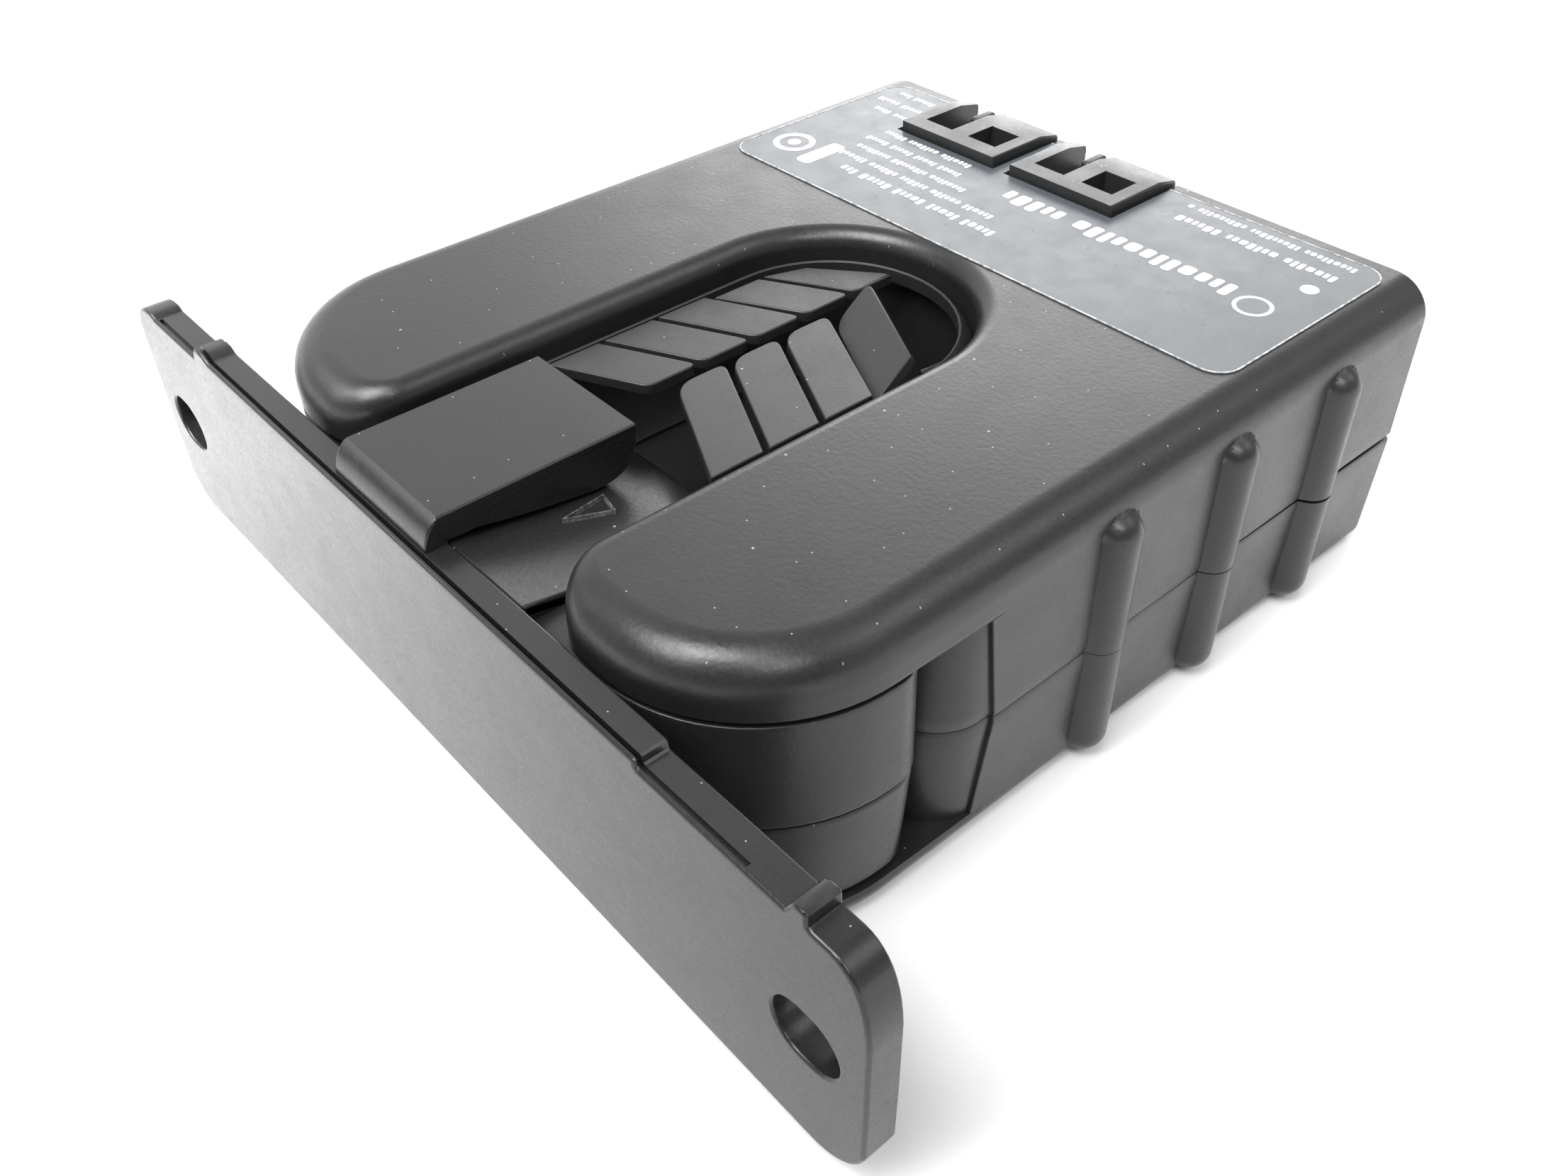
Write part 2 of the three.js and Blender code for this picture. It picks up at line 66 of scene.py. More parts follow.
TOP, PARTING, BACK = COVER_HIGH.z, COVER_LOW.z, COVER_HIGH.y
HALF, ARM_FRONT = KEEPER_HIGH.x, COVER_LOW.y
WALL = 1.8
WINDOW, WINDOW_END = 10.8, 36.8
ARM_OUTER, ARM_INNER, ARM_UNDER, FLANGE = 12.2, 5, 19.7, 2
LEG_FRONT, LEG_OUTER, LEG_INNER = 19, 4.5, 1
STEP_DEPTH, STEP_AT_SEAM, STEP_AT_ENDS = 0.3, 24.3, 23.2
FILLET, WINDOW_FILLET, BASE_FILLET, BASE_WINDOW_FILLET = 3, 1.5, 1.6, 0.5
BREAK = 0.12  # small round on a moulded edge
RIB_YS, RIB_RADIUS, RIB_INSET, RIB_LOW, RIB_HIGH = (35.1, 47.6, 60.1), 1.75, 0.45, 0.5, 21.6
RIB_BLEND, RIB_FALL = 0.35, 4  # how softly a rib meets the wall, and how steeply it drops away inside it
WALL_YS = (67.5, 65, 54.8, 52.6, 42.3, 40, 31.2, 29, 27, 25.2)  # stations on a side wall between the ribs
RIB_STATIONS, RIB_SPACING = 12, 0.2  # and closer ones, each side of a rib's middle
MERGE, SLIVER = 0.002, 0.001  # points closer than MERGE are one, and edges shorter than SLIVER go
CORE_IN, CORE_OUT, CORE_LOW, CORE_HIGH = 14.6, 25, 5.5, 17.5
CLEAR = 0.3


# ---------- plan curves: points with their outward normal and the share of window fillet ----------
def arc(cx, cy, radius, start, end, steps, facing=1, share=(0, 0)):
    """Points on an arc. facing is 1 for an outside round and -1 for an inside one."""
    out = []
    for k in range(steps + 1):
        t = k / steps
        a = math.radians(start + (end - start) * t)
        c, s = math.cos(a), math.sin(a)
        blend = share[0] + (share[1] - share[0]) * t * t * (3 - 2 * t)
        out.append((cx + radius * c, cy + radius * s, facing * c, facing * s, blend))
    return out


def side_stations():
    """Places along a side wall, from the back forwards, close together at each rib."""
    ys = set(WALL_YS)
    for y in RIB_YS:
        ys |= {y + RIB_SPACING * k for k in range(-RIB_STATIONS, RIB_STATIONS + 1)}
    return sorted(ys, reverse=True)


SIDE = side_stations()
BACK_ROUND = 0.3
STEP_SOFT, STEP_RUN = 0.06, 0.04  # the softened edge of the legs' step, and the length of its riser
NO_STEP_AT = 24.4  # where a path without a step has the same stations
RIBS_FROM = 26  # the side walls carry ribs behind this


def half_path(half, window, front, back, outer, inner, step_y=None):
    """The left half of the U in plan, from the back corner round to the middle of the window's end."""
    path = [(*p[:2], -1, 0, 0) for p in arc(-half + BACK_ROUND, back - BACK_ROUND, BACK_ROUND, 90, 180, 3)]
    path += [(-half, y, -1, 0, 0) for y in SIDE]
    front_half = half - (STEP_DEPTH if step_y else 0)
    step_at = step_y or NO_STEP_AT
    path += [(-half, step_at + STEP_SOFT, -1, 0, 0), (-half + STEP_SOFT * bool(step_y), step_at, -1, 0, 0),
             (-front_half, step_at - STEP_RUN, -1, 0, 0)]
    path += arc(-front_half + outer, front + outer, outer, 180, 270, 18)
    path += arc(-window - inner, front + inner, inner, 270, 360, 12, share=(0, 1))
    wall = [front + inner + (WINDOW_END - front - inner) * k / 6 for k in range(1, 6)]
    path += [(-window, y, 1, 0, 1) for y in wall]
    path += arc(0, WINDOW_END, window, 180, 90, 24, facing=-1, share=(1, 1))
    return path


def u_path(*sizes, **more):
    """The whole U in plan."""
    left = half_path(*sizes, **more)
    return left + [(-x, y, -nx, ny, share) for x, y, nx, ny, share in left[-2::-1]]


def smooth_max(a, b, width):
    """The larger of two numbers, rounded over where they are within width of each other."""
    near = max(width - abs(a - b), 0) / width
    return max(a, b) + near * near * width / 4


def with_ribs(x, y, z):
    """Moves a point of a side wall out to the surface of the ribs, which blend into the wall."""
    rib = -HALF
    for at in RIB_YS:
        end = max(0, z - RIB_HIGH + RIB_RADIUS, RIB_LOW + RIB_RADIUS - z)
        d = math.hypot(y - at, end)
        rise = math.sqrt(RIB_RADIUS**2 - d * d) if d < RIB_RADIUS else -RIB_FALL * (d - RIB_RADIUS)
        rib = max(rib, HALF - RIB_INSET + rise)
    return math.copysign(smooth_max(abs(x), rib, RIB_BLEND), x)


def ring(path, z, inset=0, ribs=True):
    """A ring of points. z and inset are numbers, or functions of (y, share of window fillet)."""
    out = []
    for x, y, nx, ny, share in path:
        d = inset(y, share) if callable(inset) else inset
        level = z(y, share) if callable(z) else z
        px, py = x - nx * d, y - ny * d
        if ribs and abs(nx) == 1 and share == 0 and y > RIBS_FROM:
            px = with_ribs(px, py, level)
        out.append((px, py, level))
    return out


def fillet_rings(path, edge, radius, window_radius, direction, angles):
    """Rings that round the edge at height edge. direction is 1 for an upper edge and -1 for a lower one."""
    out = []
    for angle in angles:
        c, s = 1 - math.cos(math.radians(angle)), 1 - math.sin(math.radians(angle))

        def local(share):
            return radius + (window_radius - radius) * share

        out.append(ring(path, lambda y, share: edge - direction * s * local(share),
                        lambda y, share: c * local(share)))
    return out


# ---------- meshes ----------
def mesh_object(name, points, faces):
    """An object made of points in millimetres, with double points and slivers taken out."""
    mesh = bpy.data.meshes.new(name)
    mesh.from_pydata([to_frame(*p) for p in points], [], faces)
    bm = bmesh.new()
    bm.from_mesh(mesh)
    bmesh.ops.remove_doubles(bm, verts=bm.verts, dist=MERGE * MM)
    bmesh.ops.dissolve_degenerate(bm, edges=bm.edges, dist=SLIVER * MM)
    bmesh.ops.recalc_face_normals(bm, faces=bm.faces)
    bm.to_mesh(mesh)
    bm.free()
    obj = bpy.data.objects.new(name, mesh)
    bpy.context.scene.collection.objects.link(obj)
    return obj


def loft(name, rings):
    """A closed mesh through rings that have the same number of points, capped at both ends."""
    n = len(rings[0])
    faces = [tuple(range(n))[::-1], tuple(range(n * (len(rings) - 1), n * len(rings)))]
    for k in range(len(rings) - 1):
        for i in range(n):
            j = (i + 1) % n
            faces.append((k * n + i, k * n + j, (k + 1) * n + j, (k + 1) * n + i))
    return mesh_object(name, [p for r in rings for p in r], faces)


def inset_outline(outline, distance):
    """An anticlockwise outline moved inwards, each corner along its mitre."""
    out = []
    n = len(outline)
    for i in range(n):
        before, here, after = (Vector(outline[(i + k) % n]) for k in (-1, 0, 1))
        a, b = (here - before).normalized(), (after - here).normalized()
        normal = Vector((-a.y - b.y, a.x + b.x))
        scale = distance / max(0.3, (1 + a.dot(b)) / 2) / 2
        out.append((here.x + normal.x * scale, here.y + normal.y * scale))
    return out


AXES = {
    "z": lambda u, v, w: (u, v, w),
    "y": lambda u, v, w: (u, w, v),
    "x": lambda u, v, w: (w, u, v),
}


def anticlockwise(outline):
    """The outline itself, or turned round if it runs clockwise."""
    area = sum(a[0] * b[1] - b[0] * a[1] for a, b in zip(outline, outline[1:] + outline[:1]))
    return outline if area > 0 else outline[::-1]


def prism(name, outline, low, high, low_round=0.0, high_round=0.0, axis="z", steps=3):
    """An outline drawn out from low to high along an axis, with its two rims rounded."""
    outline = anticlockwise([tuple(p) for p in outline])
    levels = []
    for end, sign, radius in ((low, 1, low_round), (high, -1, high_round)):
        turns = range(steps + 1) if radius else [steps]
        part = []
        for k in turns:
            a = math.pi / 2 * k / steps
            part.append((end + sign * radius * (1 - math.sin(a)), radius * (1 - math.cos(a))))
        levels += part[::-1] if sign > 0 else part
    fitted = []
    for level, inset in levels:
        fitted.append([AXES[axis](u, v, level) for u, v in
                       (inset_outline(outline, inset) if inset else outline)])
    return loft(name, fitted)


def block(name, x0, x1, y0, y1, z0, z1):
    """A plain box with sharp edges."""
    return prism(name, [(x0, y0), (x1, y0), (x1, y1), (x0, y1)], z0, z1)


def settle(obj):
    """Applies the modifiers."""
    mesh = bpy.data.meshes.new_from_object(obj.evaluated_get(bpy.context.evaluated_depsgraph_get()))
    obj.modifiers.clear()
    old = obj.data
    obj.data = mesh
    bpy.data.meshes.remove(old)


def combine(obj, operation, *others):
    """Joins or cuts obj with each of the others, and uses them up."""
    for other in others:
        bpy.context.view_layer.update()
        boolean = obj.modifiers.new("shape", "BOOLEAN")
        boolean.operation, boolean.solver, boolean.object = operation, "EXACT", other
        settle(obj)
        bpy.data.objects.remove(other)
    return obj


def cut(obj, *tools):
    return combine(obj, "DIFFERENCE", *tools)


def join(obj, *others):
    return combine(obj, "UNION", *others)


def bezier(points, steps):
    """A quadratic curve through the ends of three points."""
    a, b, c = (Vector(p) for p in points)
    return [tuple(a * (1 - t) ** 2 + b * 2 * t * (1 - t) + c * t * t)
            for t in (k / steps for k in range(steps + 1))]


def rounded_rect(x0, x1, y0, y1, radii, steps=8):
    """Corner radii go anticlockwise from (x0, y0)."""
    a, b, c, d = radii
    corner_arcs = [(x0 + a, y0 + a, a, 180), (x1 - b, y0 + b, b, 270),
                   (x1 - c, y1 - c, c, 0), (x0 + d, y1 - d, d, 90)]
    return [p[:2] for cx, cy, r, start in corner_arcs for p in arc(cx, cy, r, start, start + 90, steps)]


def pole_tools(y0, y1):
    """Blocks that open a window for each pole of the core."""
    out = []
    for side in (-1, 1):
        x0, x1 = sorted((side * (CORE_IN - CLEAR), side * (CORE_OUT + CLEAR)))
        out.append(block("tool", x0, x1, y0, y1, CORE_LOW - CLEAR, CORE_HIGH + CLEAR))
    return out


# ---------- materials ----------
class Shader:
    """A Principled material whose nodes are added one at a time."""

    def __init__(self, name):
        self.material = bpy.data.materials.new(name)
        self.material.use_nodes = True
        self.nodes = self.material.node_tree.nodes
        self.links = self.material.node_tree.links
        self.nodes.clear()
        self.output = self.nodes.new("ShaderNodeOutputMaterial")
        self.surface = self.nodes.new("ShaderNodeBsdfPrincipled")
        self.links.new(self.surface.outputs["BSDF"], self.output.inputs["Surface"])
        self.place = self.nodes.new("ShaderNodeTexCoord").outputs["Object"]

    def set(self, **values):
        for name, value in values.items():
            self.surface.inputs[name.replace("_", " ")].default_value = value

    def link(self, socket, name):
        self.links.new(socket, self.surface.inputs[name])

    def node(self, kind, settings=None, **inputs):
        """Adds a node. Inputs go by name, or as i0, i1 by number, and are numbers or sockets."""
        made = self.nodes.new("ShaderNode" + kind)
        for key, value in (settings or {}).items():
            setattr(made, key, value)
        for key, value in inputs.items():
            numbered = key[0] == "i" and key[1:].isdigit()
            socket = made.inputs[int(key[1:]) if numbered else key.replace("_", " ")]
            if isinstance(value, bpy.types.NodeSocket):
                self.links.new(value, socket)
            else:
                socket.default_value = value
        return made

    def noise(self, size, detail=3.0, roughness=0.55):
        """Noise whose features are about size millimetres across."""
        made = self.node("TexNoise", Vector=self.place, Scale=1 / (size * MM), Detail=detail,
                         Roughness=roughness)
        return made.outputs["Fac"]

    def fit(self, value, low, high, out_low, out_high):
        """Stretches low..high to out_low..out_high, and holds the value inside them."""
        made = self.node("MapRange", Value=value)
        for key, number in zip(("From Min", "From Max", "To Min", "To Max"), (low, high, out_low, out_high)):
            made.inputs[key].default_value = number
        return made.outputs["Result"]

    def math(self, operation, a, b=0.0):
        return self.node("Math", {"operation": operation}, i0=a, i1=b).outputs["Value"]

    def mix(self, share, a, b):
        """Colour a where share is 0, and colour b where it is 1."""
        made = self.node("Mix", {"data_type": "RGBA"})
        for key, value in ((0, share), (6, a), (7, b)):  # the mix node's sockets for a share and two colours
            if isinstance(value, bpy.types.NodeSocket):
                self.links.new(value, made.inputs[key])
            else:
                made.inputs[key].default_value = value
        return made.outputs[2]

    def up(self):
        """1 on faces that look up, 0 on faces that look sideways or down."""
        normal = self.node("NewGeometry").outputs["Normal"]
        return self.fit(self.node("SeparateXYZ", Vector=normal).outputs["Z"], 0.2, 0.9, 0, 1)

    def specks(self, spacing, radius, share):
        """1 inside small scattered spots seen from above: one spot at most per cell of spacing mm."""
        cells = self.node("TexVoronoi", {"voronoi_dimensions": "2D"}, Vector=self.place,
                          Scale=1 / (spacing * MM), Randomness=1.0)
        chosen = self.node("SeparateColor", Color=cells.outputs["Color"]).outputs["Red"]
        near = self.math("LESS_THAN", cells.outputs["Distance"], radius / spacing)
        return self.math("MULTIPLY", near, self.math("LESS_THAN", chosen, share))

    def bump(self, *layers):
        """layers are (height, depth in mm) pairs."""
        normal = None
        for height, depth in layers:
            made = self.node("Bump", Strength=1.0, Distance=depth * MM, Height=height)
            if normal:
                self.links.new(normal, made.inputs["Normal"])
            normal = made.outputs["Normal"]
        self.link(normal, "Normal")


def grey(value, blue=1.0):
    """A grey whose blue is a little stronger or weaker than its red."""
    return (value, value * (1 + (blue - 1) / 2), value * blue, 1)


def moulded_plastic(name, dark, light, roughness, grain, dust=0.35):
    """Spark-textured plastic: mottled colour, patchy gloss, a fine grain and a little settled dust."""
    s = Shader(name)
    mottle = s.noise(9, 4)
    fine = s.noise(0.22, 2)
    colour = s.mix(s.fit(mottle, 0.3, 0.7, 0, 1), grey(dark, 1.05), grey(light, 1.05))
    colour = s.mix(s.fit(fine, 0.35, 0.75, 0, 0.35), colour, grey(light * 1.7, 1.02))
    specks = s.math("MAXIMUM", s.specks(2.3, 0.055, dust * 0.7), s.specks(6.1, 0.09, dust * 0.6))
    dusty = s.math("MULTIPLY", specks, s.up())
    colour = s.mix(s.math("MULTIPLY", dusty, 0.75), colour, grey(0.4, 0.9))
    s.link(colour, "Base Color")
    gloss = s.math("ADD", s.fit(s.noise(4, 3), 0.3, 0.7, roughness[0], roughness[1]),
                   s.fit(s.noise(0.3, 2), 0.3, 0.7, -0.04, 0.04))
    s.link(gloss, "Roughness")
    s.set(IOR=1.52)
    s.bump((s.noise(0.34, 2, 0.5), grain), (s.noise(0.12, 1), grain * 0.2))
    return s.material


def smooth_moulding(name, colour, roughness):
    """Fine-grained moulded part such as nylon, epoxy or a small plastic case."""
    s = Shader(name)
    darker = tuple(c * 0.8 for c in colour[:3]) + (1,)
    s.link(s.mix(s.fit(s.noise(2.5, 4), 0.3, 0.7, 0, 1), colour, darker), "Base Color")
    s.link(s.fit(s.noise(0.8, 3), 0.3, 0.7, roughness - 0.07, roughness + 0.07), "Roughness")
    s.bump((s.noise(0.2, 3), 0.004))
    return s.material


def metal(name, colour, roughness):
    """Plated metal with fine marks and patches of slight tarnish."""
    s = Shader(name)
    stained = tuple(c * 0.5 for c in colour[:3]) + (1,)
    s.link(s.mix(s.fit(s.noise(1.4, 4), 0.45, 0.75, 0, 0.7), colour, stained), "Base Color")
    s.link(s.fit(s.noise(0.25, 4), 0.3, 0.7, roughness - 0.08, roughness + 0.12), "Roughness")
    s.set(Metallic=1.0)
    s.bump((s.noise(0.12, 3), 0.006))
    return s.material


def laminations():
    """Stacked steel sheets: fine dark lines along the height of the core."""
    s = Shader("core_steel")
    height = s.node("SeparateXYZ", Vector=s.place).outputs["Z"]
    wave = s.math("SINE", s.math("MULTIPLY", height, 2 * math.pi / (0.5 * MM)))
    line = s.fit(wave, 0.55, 0.95, 0, 1)
    s.link(s.mix(line, grey(0.24, 1.03), grey(0.06)), "Base Color")
    s.link(s.fit(s.noise(0.6, 4), 0.3, 0.7, 0.38, 0.6), "Roughness")
    s.set(Metallic=0.9)
    s.bump((s.math("SUBTRACT", 1.0, line), 0.05), (s.noise(0.15, 3), 0.008))
    return s.material


def winding():
    """Enamelled copper wire wound round the bobbin, along X, with painted shade in the grooves between turns.
    """
    s = Shader("copper_wire")
    along = s.node("SeparateXYZ", Vector=s.place).outputs["X"]
    wave = s.math("ABSOLUTE", s.math("SINE", s.math("MULTIPLY", along, math.pi / (0.32 * MM))))
    s.link(s.mix(s.fit(wave, 0, 0.5, 0, 1), (0.16, 0.05, 0.02, 1), (0.62, 0.24, 0.09, 1)), "Base Color")
    s.link(s.fit(s.noise(1, 3), 0.3, 0.7, 0.25, 0.4), "Roughness")
    s.set(Metallic=0.85, Coat_Weight=0.5)
    s.bump((wave, 0.12))
    return s.material


def board_mask():
    """Green solder mask with tracks under it."""
    s = Shader("board_laminate")
    tracks = s.node("TexBrick", {"offset": 0.5}, Vector=s.place, Scale=1 / (5 * MM), Mortar_Size=0.06)
    s.link(s.mix(tracks.outputs["Fac"], (0.012, 0.10, 0.035, 1), (0.03, 0.2, 0.08, 1)), "Base Color")
    s.link(s.fit(s.noise(1.5, 3), 0.3, 0.7, 0.25, 0.38), "Roughness")
    s.bump((tracks.outputs["Fac"], 0.03))
    return s.material


def label_film():
    """Semi-matt printed film, a little scuffed."""
    s = Shader("label_film")
    tone = s.mix(s.fit(s.noise(7, 3), 0.3, 0.7, 0, 1), (0.060, 0.068, 0.078, 1), (0.073, 0.081, 0.090, 1))
    tone = s.mix(s.fit(s.noise(0.3, 2), 0.4, 0.8, 0, 0.35), tone, (0.10, 0.108, 0.116, 1))
    s.link(tone, "Base Color")
    gloss = s.fit(s.noise(2.2, 4), 0.3, 0.7, 0.30, 0.40)
    scuffs = s.math("MULTIPLY", s.specks(2.6, 0.1, 0.3), 0.2)
    s.link(s.math("ADD", gloss, scuffs), "Roughness")
    s.bump((s.noise(0.5, 3), 0.004))
    return s.material


def printed_ink():
    """White print, thin in places."""
    s = Shader("white_ink")
    thin = s.fit(s.noise(0.35, 3), 0.35, 0.75, 0, 1)
    s.link(s.mix(thin, (0.80, 0.81, 0.82, 1), (0.66, 0.67, 0.69, 1)), "Base Color")
    s.link(s.fit(s.noise(0.8, 2), 0.3, 0.7, 0.4, 0.55), "Roughness")
    s.bump((s.noise(0.15, 2), 0.003))
    return s.material


def painted_highlight_edge(name, tone, roughness):
    """A narrow edge or ridge in a light tone, broken into patches: a painted highlight where it catches the
    light.
    """
    s = Shader(name)
    s.link(s.mix(s.fit(s.noise(0.5, 4), 0.42, 0.62, 0, 1), grey(tone, 0.98), grey(tone * 0.35)), "Base Color")
    s.link(s.fit(s.noise(0.6, 2), 0.3, 0.7, roughness - 0.05, roughness + 0.05), "Roughness")
    s.bump((s.noise(0.12, 2), 0.004))
    return s.material


CASE = moulded_plastic("case_plastic", 0.011, 0.015, (0.30, 0.38), 0.012)
BRACKET = moulded_plastic("bracket_plastic", 0.011, 0.015, (0.25, 0.30), 0.003, dust=0.3)
# a darker copy of the case plastic: painted shade on the iris rim, which sits low under the window wall
SHADED_RIM = moulded_plastic("iris_rim_painted_shade", 0.008, 0.011, (0.50, 0.60), 0.006, dust=0.0)
IRIS = moulded_plastic("iris_plastic", 0.013, 0.018, (0.34, 0.44), 0.006, dust=0.2)
TERMINAL = moulded_plastic("terminal_plastic", 0.016, 0.022, (0.34, 0.46), 0.008, dust=0.3)
LABEL, INK = label_film(), printed_ink()
# light tones that paint the highlight on the label film's edge and on the arrow's ridges
EDGE_GLINT, RIDGE_GLINT = painted_highlight_edge("film_edge_painted_highlight", 0.5, 0.5), painted_highlight_edge("ridge_painted_highlight", 0.16, 0.45)
STEEL = metal("plated_steel", (0.36, 0.35, 0.34, 1), 0.38)
BRASS = metal("tinned_brass", (0.50, 0.44, 0.30, 1), 0.36)
CORE, COPPER, BOARD = laminations(), winding(), board_mask()
NYLON = smooth_moulding("bobbin_nylon", (0.66, 0.63, 0.54, 1), 0.5)
BLUE_CASE = smooth_moulding("relay_case", (0.02, 0.06, 0.17, 1), 0.35)
EPOXY = smooth_moulding("chip_epoxy", (0.022, 0.022, 0.024, 1), 0.55)


def finish_piece(obj, body, material, nodes=(), sharp=35, weighted=True):
    """Shades a piece, gives it its material, ties it to its body and hides the CAD nodes it stands for."""
    obj.data.materials.clear()
    obj.data.materials.append(material)
    for polygon in obj.data.polygons:
        polygon.material_index = 0
    obj.data.shade_smooth()
    obj.data.set_sharp_from_angle(angle=math.radians(sharp))
    if weighted:
        normals = obj.modifiers.new("normals", "WEIGHTED_NORMAL")
        normals.keep_sharp, normals.weight = True, 80
    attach(obj, body)
    if nodes:
        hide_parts(*nodes)


# ---------- body shells ----------
def seam_gap(y):
    """The shells meet closely at the front and gape a little towards the back."""
    return 0.05 + 0.33 * max(0, min(1, (y - 40) / 30)) ** 1.3


def broken_edge(lean):
    """The arms' undersides have a softened edge where the legs stand back from it, and only there."""
    return lambda y, share: lean + BREAK * (y < LEG_FRONT + 1)


def draft(z, top, depth=0.15):
    """Moulding draft: how far a wall leans in at height z, from nothing at the parting line."""
    return depth * abs(z - PARTING) / abs(top - PARTING)


def hollow_path():
    """The plan of the room inside the shells."""
    return u_path(HALF - WALL, WINDOW + WALL, LEG_FRONT + WALL, BACK - WALL, LEG_OUTER - WALL, LEG_INNER)


def leg_path(z, end):
    """The legs' plan at height z. Their step slants from the seam to the end at height end."""
    step = STEP_AT_SEAM + (STEP_AT_ENDS - STEP_AT_SEAM) * abs(z - PARTING) / abs(end - PARTING)
    return u_path(HALF, WINDOW, LEG_FRONT, BACK, LEG_OUTER, LEG_INNER, step_y=step)


def arm_path():
    """The plan of the case above and below the legs, with the round-ended arms."""
    return u_path(HALF, WINDOW, ARM_FRONT, BACK, ARM_OUTER, ARM_INNER)


LABEL_CORNER, POCKET_GAP, FILM_RIM, RIM_WIDTH = 2, 0.03, 0.04, 0.13


def label_outline(grow=0.0):
    """The label's rounded rectangle, made larger all round by grow."""
    x0, x1 = LABEL_LOW.x - grow, LABEL_HIGH.x + grow
    return rounded_rect(x0, x1, LABEL_LOW.y - grow, LABEL_HIGH.y + grow, (LABEL_CORNER + grow,) * 4)


BLOCK_XS, BLOCK_HALF, BLOCK_FRONT, BLOCK_LOW = (-12.8, 0), 5.5, 62.5, 14.3
PITCH, SCREWS = 5.08, 4
TOOL_REACH = 5  # cutting tools stand out of the case this far
POLE_CUT = (LEG_FRONT - 1, LEG_FRONT + 3)  # from in front of the legs' faces into the hollow behind them
BASE_DRAFT = 0.3
COVER_LEVELS, ARM_LEVELS, BASE_LEVELS = (12, 14, 16, 18, 19), (20.1, 20.4, 20.7), (9, 7, 5, 3.5, 2.6)
TOP_ANGLES = (0, 2, 4, 6, 8, 10, 12.5, 16, 22, 29, 36, 43, 50, 57, 64, 71, 78, 84, 90)
BASE_ANGLES = (0, 6, 12, 18, 25, 33, 42, 52, 62, 72, 81, 90)


def block_tools(clearance):
    """Blocks that cut the pockets for the terminal blocks."""
    return [block("tool", x - BLOCK_HALF - clearance, x + BLOCK_HALF + clearance, BLOCK_FRONT - clearance,
                  BACK + TOOL_REACH, BLOCK_LOW - clearance, TOP + TOOL_REACH) for x in BLOCK_XS]


def top_cover():
    """The upper shell, lofted from its ceiling inside, out over the seam and up to the top fillet."""
    def seam(y, share):
        return PARTING + seam_gap(y) / 2

    ceiling = TOP - WALL
    hollow = hollow_path()
    rings = [ring(hollow, ceiling, ribs=False), ring(hollow, seam, ribs=False)]
    rings.append(ring(leg_path(PARTING, ARM_UNDER), seam, BREAK))
    levels = (PARTING + 0.35, *COVER_LEVELS, ARM_UNDER)
    rings += [ring(leg_path(z, ARM_UNDER), z, draft(z, TOP)) for z in levels]
    arms = arm_path()
    rings.append(ring(arms, ARM_UNDER, broken_edge(draft(ARM_UNDER, TOP))))
    rings += [ring(arms, z, draft(z, TOP)) for z in (ARM_UNDER + BREAK, *ARM_LEVELS)]
    lean = draft(TOP - FILLET, TOP)
    leaning = [(x - nx * lean, y - ny * lean, nx, ny, share) for x, y, nx, ny, share in arms]
    rings += fillet_rings(leaning, TOP, FILLET, WINDOW_FILLET, 1, TOP_ANGLES)
    shell = loft("cover_shell", rings)
    pocket = prism("tool", label_outline(POCKET_GAP), LABEL_LOW.z, TOP + 2)
    cut(shell, pocket, *block_tools(CLEAR / 2), *pole_tools(*POLE_CUT))
    finish_piece(shell, "sensor_body", CASE, ["top_cover"])


def bottom_case():
    """The lower shell, lofted the same way down to the rounded foot."""
    def seam(y, share):
        return PARTING - seam_gap(y) / 2

    hollow = hollow_path()
    rings = [ring(hollow, WALL, ribs=False), ring(hollow, seam, ribs=False)]
    rings.append(ring(leg_path(PARTING, FLANGE), seam, BREAK))
    levels = (PARTING - 0.35, *BASE_LEVELS, FLANGE)
    rings += [ring(leg_path(z, FLANGE), z, draft(z, 0, BASE_DRAFT)) for z in levels]
    arms = arm_path()
    rings.append(ring(arms, FLANGE, broken_edge(draft(FLANGE, 0, BASE_DRAFT))))
    lean = draft(BASE_FILLET, 0, BASE_DRAFT)
    leaning = [(x - nx * lean, y - ny * lean, nx, ny, share) for x, y, nx, ny, share in arms]
    rings += fillet_rings(leaning, 0, BASE_FILLET, BASE_WINDOW_FILLET, -1, BASE_ANGLES)
    shell = loft("base_shell", rings)
    cut(shell, *pole_tools(*POLE_CUT))
    finish_piece(shell, "sensor_body", CASE, ["bottom_case"])


# ---------- label ----------
def label():
    """The film itself, in its shallow pocket in the cover."""
    plate = prism("printed_label", label_outline(), LABEL_LOW.z + 0.05, LABEL_HIGH.z - 0.02, 0, FILM_RIM)
    cut(plate, *block_tools(CLEAR))
    finish_piece(plate, "sensor_body", LABEL, ["label_plate"])


def gathered(name, parts):
    """One object made of several, without joining their surfaces."""
    bm = bmesh.new()
    for part in parts:
        bm.from_mesh(part.data)
    first = parts[0]
    bm.to_mesh(first.data)
    bm.free()
    for part in parts[1:]:
        bpy.data.objects.remove(part)
    first.name = name
    return first


def label_edge():
    """The film's cut edge, drawn as a fine light line: a painted highlight where the edge catches the light.
    """
    low, high = LABEL_HIGH.z - 0.06, LABEL_HIGH.z
    edge = prism("label_edge", label_outline(), low, high)
    cut(edge, prism("tool", label_outline(-RIM_WIDTH), low - 1, high + 1), *block_tools(CLEAR))
    finish_piece(edge, "sensor_body", EDGE_GLINT, weighted=False)


